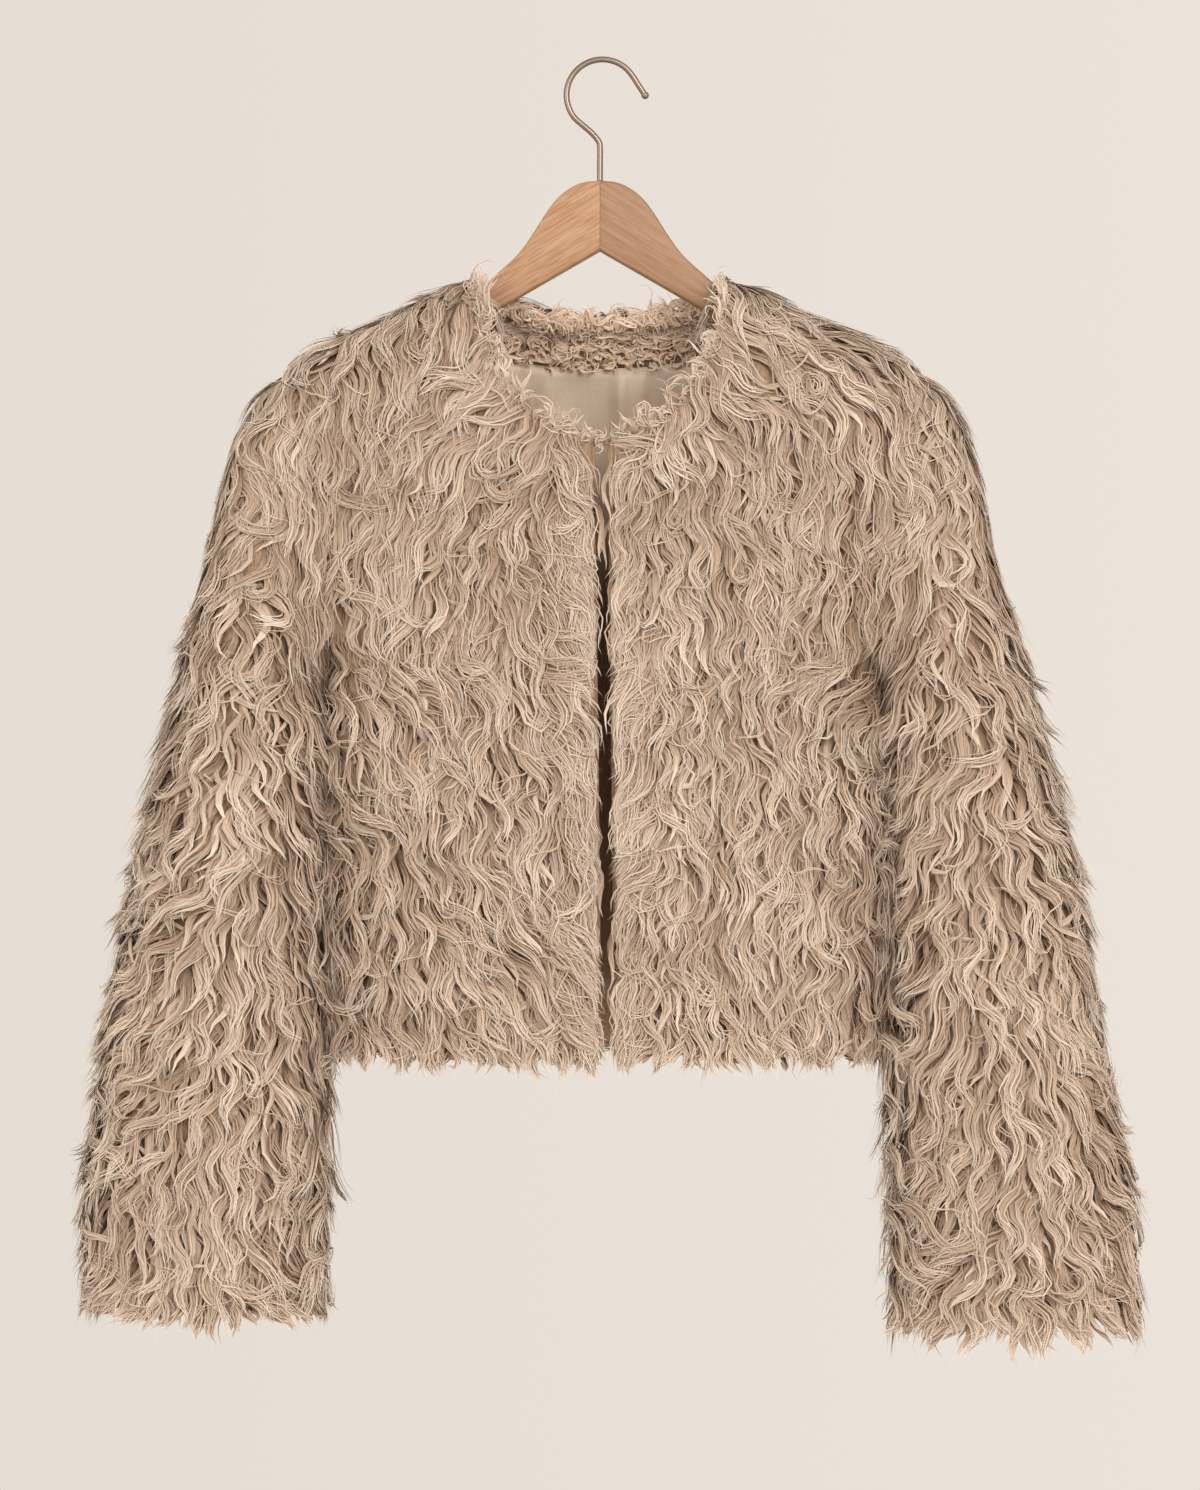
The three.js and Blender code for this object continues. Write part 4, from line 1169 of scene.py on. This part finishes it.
# Rows of the strip: how far each lies from the edge across, in depth and up
RIM_RISES = np.array([(0.0, 0.0, -8.0), (0.0, 0.0, 0.0), (0.0, -1.5, 8.0), (0.0, -4.0, 16.0)])


def short_curls(cloth, row, column, turn, length, tone, shade):
    """Short, curling locks that stand out towards the neck's opening: paths as of the coat's locks,
    with a wave, a phase and a curl of their own, all by chance."""
    count = len(row)
    wave, wavelength = rng.uniform(0.4, 1.0, count), rng.uniform(18, 30, count)
    phase, ring = rng.uniform(0, 2 * np.pi, count), rng.uniform(-3.0, 3.0, count)
    lock = grow_locks(
        cloth, row, column, ALONG_A_LOCK, turn, length, wave, wavelength, phase, ring
    )
    tone = tone + rng.normal(0, 0.1, count)
    ground, flare = np.full(count, 0.5), np.zeros(count)
    sets = []
    for make in (FACING_BODY, FACING_HAIRS):
        strands, pick = strands_of(lock, make, ground, rng.uniform(3, 7, count), flare)
        own = rng.normal(0, 0.12, len(pick))
        strands["tone"] = np.clip(tone[pick] + own, DARKEST, LIGHTEST)
        strands["shade"] = np.full(len(pick), shade)
        sets.append(strands)
    return sets


# The hair stands out of the facing, and more to the front and upward than straight out of it
facing_cloth = make_cloth(facing_far, False, 1)
facing_cloth["normal"] = unit(0.3 * facing_cloth["normal"] + np.array([0, -1.0, 0.5]))
row, column = spread(facing_cloth, FACING_SPACING, 9)
root = read(facing_cloth, "points", row, column)
seam_z = np.interp(column, np.arange(facing_far.shape[1]), facing_far[0, :, 2])
over_seam = root[:, 2] - seam_z
turn, length = rng.uniform(-np.pi, np.pi, len(row)), rng.uniform(12, 24, len(row))
# Hair that hangs down stops at the seam
to_seam = np.maximum(4, over_seam - rng.uniform(0, 4, len(row)))
length = np.where(np.cos(turn) > -0.2, to_seam, length)
facing_sets = short_curls(facing_cloth, row, column, turn, length, FACING_TONE, FACING_SHADE)

rim_cloth = make_cloth(facing_far[-1] + RIM_RISES[:, None, :], False, 1)
column = places_on_edge(facing_far[-1], RIM_SPACING)
turn, length = np.pi + rng.normal(0, 0.5, len(column)), rng.uniform(7, 17, len(column))
row = rng.uniform(0.4, 1.1, len(column))
facing_sets += short_curls(rim_cloth, row, column, turn, length, FACING_TONE, FACING_SHADE)
facing_fur = ribbon_mesh("back_neck_facing_fur", facing_sets, facing_finish)

# %% [markdown]
# The neck edges of the fronts end in tufts of the same kind. They stand on the edge, lean into the
# opening and curl, and hide where the cloth is turned in.

# %% Tufts on the fronts' neck edges
TUFT_SPACING, TUFT_LENGTH = 1.9, {"front_left": (10, 30), "front_right": (9, 25)}
# The tufts' colour starts a third along its run, so their roots carry less of the painted root
# shade
TUFT_TONE, TUFT_SHADE = 0.52, 0.32
TUFT_RISES = np.array([-8.0, 0.0, 8.0, 16.0, 24.0])  # rows of the strip, from the edge


def neck_strip(name):
    """A strip that stands on a front's neck edge: the edge, moved by each rise along a direction
    that goes up, into the opening and a little to the front."""
    top = cloths[name]["points"][-1]
    edge = top[: round(len(top) * NECK_SHARE) + 1]
    inward = -0.6 * np.tanh(upright_x(edge) / MIDDLE_BLEND)
    rising = unit(np.stack([inward, np.full(len(edge), -0.3), np.full(len(edge), 0.8)], -1))
    strip = make_cloth(edge + TUFT_RISES[:, None, None] * rising, False, 1)
    strip["normal"] = np.broadcast_to(unit(np.array([0, -1.0, 0.3])), strip["points"].shape)
    return strip


for name, lengths in TUFT_LENGTH.items():
    strip = neck_strip(name)
    column = places_on_edge(strip["points"][1], TUFT_SPACING)
    turn, length = np.pi + rng.normal(0, 0.55, len(column)), rng.uniform(*lengths, len(column))
    # They are shorter at the front edge and at the neck point
    along_edge = column / strip["points"].shape[1]
    length *= 1 - 0.4 * (1 - ease(along_edge, 0, 0.12)) - 0.65 * ease(along_edge, 0.8, 1)
    row = rng.uniform(0.2, 1.1, len(column))
    tufts = short_curls(strip, row, column, turn, length, TUFT_TONE, TUFT_SHADE)
    piece = ribbon_mesh(f"{name}_neck_tufts", tufts, fur_finish)
    furs[name].append(piece)

# %% [markdown]
# The lining hangs free below the facing, so it falls in soft upright folds. They are placed where
# the photograph has them, and a few more like them where it doesn't reach.

# %% Satin lining with its folds
lining_rows = np.concatenate(
    [np.linspace(0.12, 1, 16, endpoint=False), np.linspace(1, facing_rows[0], 28)]
)
lining_u = np.linspace(-0.6, 0.6, 91)
LINING_OFF_BACK, LINING_THICKNESS, LOOSE = 2.2, 0.4, 1.5
# Each fold: place across in millimetres, its half width, its depth, and its slant
FOLDS = [
    (-92, 7, 3.8, 0.05), (-61, 5, 3.2, -0.08), (-33, 8, 4.6, 0.04), (13, 4.6, 6.0, -0.03),
    (27, 4, 4.6, 0.06), (58, 7, 5.4, -0.05), (84, 6, 3.6, 0.03),
]


def lining_points(distance):
    """The lining: the back's surface moved in, and further in at each fold by a bell curve across,
    and everywhere by a drifting looseness. Both fade out at the seam with the facing."""
    flat = inside_back(lining_rows, lining_u, distance)
    x, z = flat[..., 0], flat[..., 2]
    below_seam = ease(-z, 186, 208)
    depth = np.zeros_like(x)
    for place, half, deep, slant in FOLDS:
        depth += deep * np.exp(-(((x - place - slant * (z + 190)) / half) ** 2)) * below_seam
    depth += LOOSE * (1 + drift(flat, 70, 5)) * below_seam
    flat[..., 1] -= depth
    return flat


lining_near, lining_far = (lining_points(LINING_OFF_BACK + t) for t in (0, LINING_THICKNESS))
lining = shell("back_lining_satin", lining_near, lining_far, False, 1, satin_finish)
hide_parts("back_lining")
print("the lining has", len(lining.data.polygons), "faces")

# %% [markdown]
# ## The hanger
#
# Two arms are sawn from a beech board, meet in a mitre under the hook, and are sanded round at the
# edges. Each arm is a section carried along x: a rounded rectangle between the top edge and the
# under edge.

# %% Wooden arms
HANGER_THICKNESS, EDGE_RADIUS, ARM_LENGTH = 12, 2.6, 188
# The mitre closes to a hair's breadth, and its edges are eased by a shallow groove
MITRE_GAP, GROOVE_HALF, GROOVE_SHARE = 0.04, 0.3, 0.06
# x and z along the top edge and along the under edge
HANGER_TOP = np.array([
    (0, -76), (12, -77.5), (23, -83.5), (32, -93), (43, -110), (52, -122.5), (64, -133.8),
    (84, -149.8), (120, -168.2), (160, -187.3), (180, -196.6), (ARM_LENGTH, -205.0),
])
HANGER_UNDER = np.array([
    (0, -121), (60, -155.5), (110, -184.2), (140, -199), (170, -211), (180, -212.8),
    (ARM_LENGTH, -205.2),
])
CORNER_POINTS = 6  # round each edge of an arm


def wooden_arm(side):
    """The arm's surface: stations along x, closer at the tip, and round each the rounded rectangle
    whose corners are quarter circles."""
    stations = ARM_LENGTH * np.sin(np.linspace(0, np.pi / 2, 90))
    stations = np.concatenate([[MITRE_GAP / 2, GROOVE_HALF], stations[1:]])
    curve = through(HANGER_TOP, np.linspace(0, len(HANGER_TOP) - 1, 400))
    top = np.interp(stations, curve[:, 0], curve[:, 1])
    under = np.interp(stations, HANGER_UNDER[:, 0], HANGER_UNDER[:, 1])
    middle, half = (top + under) / 2, np.maximum((top - under) / 2, 0.3)
    radius = np.minimum(EDGE_RADIUS, half * 0.98)
    quarter = np.linspace(0, np.pi / 2, CORNER_POINTS)
    turned = np.concatenate([quarter + k * np.pi / 2 for k in range(4)])
    corner_y, corner_z = np.repeat([(1, -1, -1, 1), (1, 1, -1, -1)], CORNER_POINTS, axis=1)
    y = corner_y * (HANGER_THICKNESS / 2 - radius[:, None]) + radius[:, None] * np.cos(turned)
    y[0] *= 1 - GROOVE_SHARE
    z = middle[:, None] + corner_z * (half - radius)[:, None] + radius[:, None] * np.sin(turned)
    x = np.broadcast_to(stations[:, None] * side, y.shape)
    points = np.stack([x, y, z], -1)
    rows, columns = points.shape[:2]
    faces = grid_faces(rows, columns, True)
    ends = [np.arange(columns)[::-1], (rows - 1) * columns + np.arange(columns)]
    if side > 0:
        faces, ends = faces[:, ::-1], [e[::-1] for e in ends]
    return points.reshape(-1, 3), faces, ends


print("an arm is", np.ptp(wooden_arm(1)[0], axis=0).round(1), "mm across, in depth and high")

# %% [markdown]
# ## Beech
#
# Beech is a pinkish tan with short dark flecks, and the arms have a clear lacquer. The right arm is
# coloured darker than the left: in part painted shade that offsets the key light, which lights the
# right arm more, and for the rest simply darker. Its grain is noise stretched along the arm, which
# a
# Mapping node turns to the arm's slope.

# %% Beech, and the arms made of it
ARM_SLOPE = 0.56  # radians
# The tones of each arm's growth rings. The right arm's are darker, in part as painted shade against
# the key light, which lights it more
ARM_TONE_AND_SHADE = {
    "left": [(0.25, "#9c7654"), (0.5, "#ad8766"), (0.75, "#ba9576")],
    "right": [(0.25, "#8a684a"), (0.5, "#99775a"), (0.75, "#a58468")],
}


def beech_material(name, side):
    """Beech, planed and clear-lacquered: a pinkish tan with fine dark flecks along the grain and a
    satin film on top. The grain of an arm runs along its slope."""
    material, tree = new_material(f"Beech, planed and lacquered, {name} arm")
    place = add_node(tree, "ShaderNodeTexCoord").outputs["Object"]
    slope = (0.0, -side * ARM_SLOPE, 0.0)
    turned = add_node(tree, "ShaderNodeMapping", Vector=place, Rotation=slope).outputs["Vector"]
    # Growth rings lie about 2 mm apart on the board. Fleck lines are 0.8 mm wide and 14 mm long.
    rings = add_node(tree, "ShaderNodeMapping", Vector=turned, Scale=(18.0, 160.0, 500.0))
    ring = add_node(
        tree, "ShaderNodeTexNoise", Vector=rings.outputs["Vector"],
        Scale=1.0, Detail=3.0, Distortion=0.6,
    )
    flecks = add_node(tree, "ShaderNodeMapping", Vector=turned, Scale=(70.0, 900.0, 1200.0))
    fleck = add_node(
        tree, "ShaderNodeTexNoise", Vector=flecks.outputs["Vector"], Scale=1.0, Detail=2.0
    ).outputs["Fac"]
    base = add_node(tree, "ShaderNodeValToRGB", stops=ARM_TONE_AND_SHADE[name], Fac=ring.outputs["Fac"])
    mark = add_node(
        tree, "ShaderNodeMapRange", Value=fleck,
        From_Min=0.5, From_Max=0.64, To_Min=0.0, To_Max=0.7,
    )
    blend = add_node(
        tree, "ShaderNodeMix", {"data_type": "RGBA"},
        i0=mark.outputs["Result"], i6=base.outputs["Color"], i7=linear("#94643f"),
    )
    bump = add_node(tree, "ShaderNodeBump", Strength=0.25, Distance=0.0002, Height=fleck)
    return finish_material(
        material, Base_Color=blend.outputs[2], Roughness=0.5, IOR=1.5, Coat_Weight=0.12,
        Coat_Roughness=0.35, Normal=bump.outputs["Normal"],
    )


for name, side in SIDES.items():
    points, faces, ends = wooden_arm(side)
    arm = mesh_object(f"hanger_{name}_wood", points, faces, beech_material(name, side), ends)
    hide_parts(f"hanger_arm_{name}")
    print(arm.name, "has", len(arm.data.polygons), "faces")

# %% [markdown]
# ## The hook
#
# The hook is steel wire bent round a former and plated a pale champagne. A circle carried along its
# path makes the wire, and the end is closed with a small ball, as on the real one.

# %% Hook wire
WIRE, HOOK_RADIUS, HOOK_CENTRE_X = 3.9, 22.9, 1.5
OPEN_ANGLE, LOWER_ANGLE, TIP_LENGTH, TIP_RADIUS = 33, 222, 15, 2.5
SHANK_FOOT, SHANK_TOP = -75.7, -51
ROUND_THE_WIRE = 20  # points


def hook_path():
    """The wire's middle line in x and z: a straight shank, a bend, an arc over the top, and a
    straight tip that leaves the arc along its tangent."""
    centre = np.array([HOOK_CENTRE_X, -(HOOK_RADIUS - WIRE / 2)])
    angle = np.radians(np.linspace(LOWER_ANGLE, OPEN_ANGLE, 13))
    arc = centre + HOOK_RADIUS * np.stack([np.cos(angle), np.sin(angle)], 1)
    leaving = np.array([np.sin(angle[-1]), -np.cos(angle[-1])])
    shank = [
        (0, SHANK_FOOT), (0, (SHANK_FOOT + SHANK_TOP) / 2), (0, SHANK_TOP - 3),
        (-1.2, SHANK_TOP + 1), (-6, SHANK_TOP + 6.5),
    ]
    tip = [arc[-1] + leaving * TIP_LENGTH / 2, arc[-1] + leaving * TIP_LENGTH]
    knots = np.concatenate([shank, arc, tip])
    return through(knots, np.linspace(0, len(knots) - 1, 130))


def wire_points():
    """Rings of points square to the path, and a ball at the end, whose rings shrink by a circle."""
    path = hook_path()
    tangent = unit(np.gradient(path, axis=0))
    polar = np.linspace(np.arcsin(WIRE / 2 / TIP_RADIUS) + 0.02, np.pi - 0.03, 14)[1:]
    ball = path[-1] - np.cos(polar)[:, None] * tangent[-1] * TIP_RADIUS
    middle = np.concatenate([path, ball])
    radius = np.concatenate([np.full(len(path), WIRE / 2), np.sin(polar) * TIP_RADIUS])
    ahead = np.concatenate([tangent, np.repeat(tangent[-1:], len(ball), 0)])
    angle = np.linspace(0, 2 * np.pi, ROUND_THE_WIRE, endpoint=False)
    x, z = (
        middle[:, k, None] + across[:, None] * radius[:, None] * np.cos(angle)
        for k, across in enumerate((ahead[:, 1], -ahead[:, 0]))
    )
    return np.stack([x, radius[:, None] * np.sin(angle), z], -1)


def plated_material():
    """Steel wire, drawn and plated a pale champagne: a warm metal, polished, a little softer where
    handling has dulled it, in patches some 15 mm across."""
    material, tree = new_material("Steel wire, drawn and champagne-plated")
    place = add_node(tree, "ShaderNodeTexCoord").outputs["Object"]
    dulled = add_node(tree, "ShaderNodeTexNoise", Vector=place, Scale=60.0, Detail=2.0)
    rough = add_node(
        tree, "ShaderNodeMapRange", Value=dulled.outputs["Fac"], To_Min=0.3, To_Max=0.38
    )
    return finish_material(
        material, Base_Color=linear("#8d8074"), Metallic=1.0, Roughness=rough.outputs["Result"]
    )


rings = wire_points()
hook_faces = grid_faces(*rings.shape[:2], True)
cap = np.arange(ROUND_THE_WIRE)
caps = [cap[::-1], (len(rings) - 1) * ROUND_THE_WIRE + cap]
hook = mesh_object("hook_wire", rings.reshape(-1, 3), hook_faces, plated_material(), caps)
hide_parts("hook")
print("the hook has", len(hook.data.polygons), "faces")

# %% [markdown]

# %% [markdown]
# ## Floor, light and camera
#
# The set is a pale studio: an even, warm off-white surround, one large soft light from the upper
# right in front, and a weaker one from the left. Soft light from many sides lets the eye see into
# the pile, where a hard lamp would leave it black.

# %% Studio
FLOOR_RADIUS, FLOOR_Z, FLOOR_SIDES = 2000, -1300.0, 96
world = bpy.data.worlds.new("Studio surround")
bpy.context.scene.world = world
world.use_nodes = True
tree = world.node_tree
tree.nodes.clear()
looking = add_node(tree, "ShaderNodeTexCoord")
parts = add_node(tree, "ShaderNodeSeparateXYZ", Vector=looking.outputs["Generated"])
rightward = add_node(
    tree, "ShaderNodeMapRange", Value=parts.outputs["X"], From_Min=-0.16, From_Max=0.16
)
surround = add_node(
    tree, "ShaderNodeValToRGB", stops=[(0.0, "#e4dcd2"), (1.0, "#ece4db")],
    Fac=rightward.outputs["Result"],
)
background = add_node(
    tree, "ShaderNodeBackground", Color=surround.outputs["Color"], Strength=1.0
)
add_node(tree, "ShaderNodeOutputWorld", Surface=background.outputs["Background"])

# Plaster is matt. Its grain is 25 mm across, as a trowel leaves it.
floor_material, tree = new_material("Plaster floor, trowelled and painted")
place = add_node(tree, "ShaderNodeTexCoord").outputs["Object"]
grain = add_node(tree, "ShaderNodeTexNoise", Vector=place, Scale=40.0, Detail=5.0)
bump = add_node(tree, "ShaderNodeBump", Strength=0.1, Distance=0.001, Height=grain.outputs["Fac"])
finish_material(
    floor_material, Base_Color=linear("#e6ddd2"), Roughness=0.8, Normal=bump.outputs["Normal"]
)

turns = np.linspace(0, 2 * np.pi, FLOOR_SIDES, endpoint=False)
disc = np.stack([
    FLOOR_RADIUS * np.cos(turns), FLOOR_RADIUS * np.sin(turns), np.full(FLOOR_SIDES, FLOOR_Z)
], -1)
mesh = bpy.data.meshes.new("studio_floor")
mesh.from_pydata((disc * MM).tolist(), [], [list(range(FLOOR_SIDES))])
mesh.materials.append(floor_material)
floor = bpy.data.objects.new("studio_floor", mesh)
bpy.context.scene.collection.objects.link(floor)


def soft_light(name, place, aim, size, watts, colour):
    """A square area light at a place, turned to face a point."""
    light = bpy.data.lights.new(name, "AREA")
    light.shape, light.size, light.energy = "SQUARE", size, watts
    light.color = linear(colour)[:3]
    lamp = bpy.data.objects.new(name, light)
    lamp.location = place
    lamp.rotation_euler = (aim - lamp.location).to_track_quat("-Z", "Y").to_euler()
    bpy.context.scene.collection.objects.link(lamp)


middle_of_coat = (cad_low + cad_high) / 2
soft_light("key", (0.9, -2.4, 0.6), middle_of_coat, 1.4, 40, "#fff6ea")
soft_light("fill", (-1.8, -2.0, 0.3), middle_of_coat, 1.6, 20, "#fff8f0")
print("lights aim at", tuple(round(v, 3) for v in middle_of_coat))

# %% [markdown]
# The camera is level with the middle of the picture, straight in front of the coat. Its lens
# follows from how much has to show at its distance: by like triangles, sensor over lens is picture
# height over distance.

# %% Camera
DISTANCE, PICTURE_HEIGHT, EYE_Z = 3.0, 0.954, -0.437  # metres
SENSOR = 36  # millimetres
camera_data = bpy.data.cameras.new("camera")
camera_data.sensor_fit, camera_data.sensor_height = "VERTICAL", SENSOR
camera_data.lens = SENSOR * DISTANCE / PICTURE_HEIGHT
camera = bpy.data.objects.new("camera", camera_data)
camera.location = (0, -DISTANCE, EYE_Z)
camera.rotation_euler = (np.pi / 2, 0, 0)
bpy.context.scene.collection.objects.link(camera)
bpy.context.scene.camera = camera
bpy.context.scene.view_settings.view_transform = "Standard"
print("lens:", round(camera_data.lens, 1), "mm")
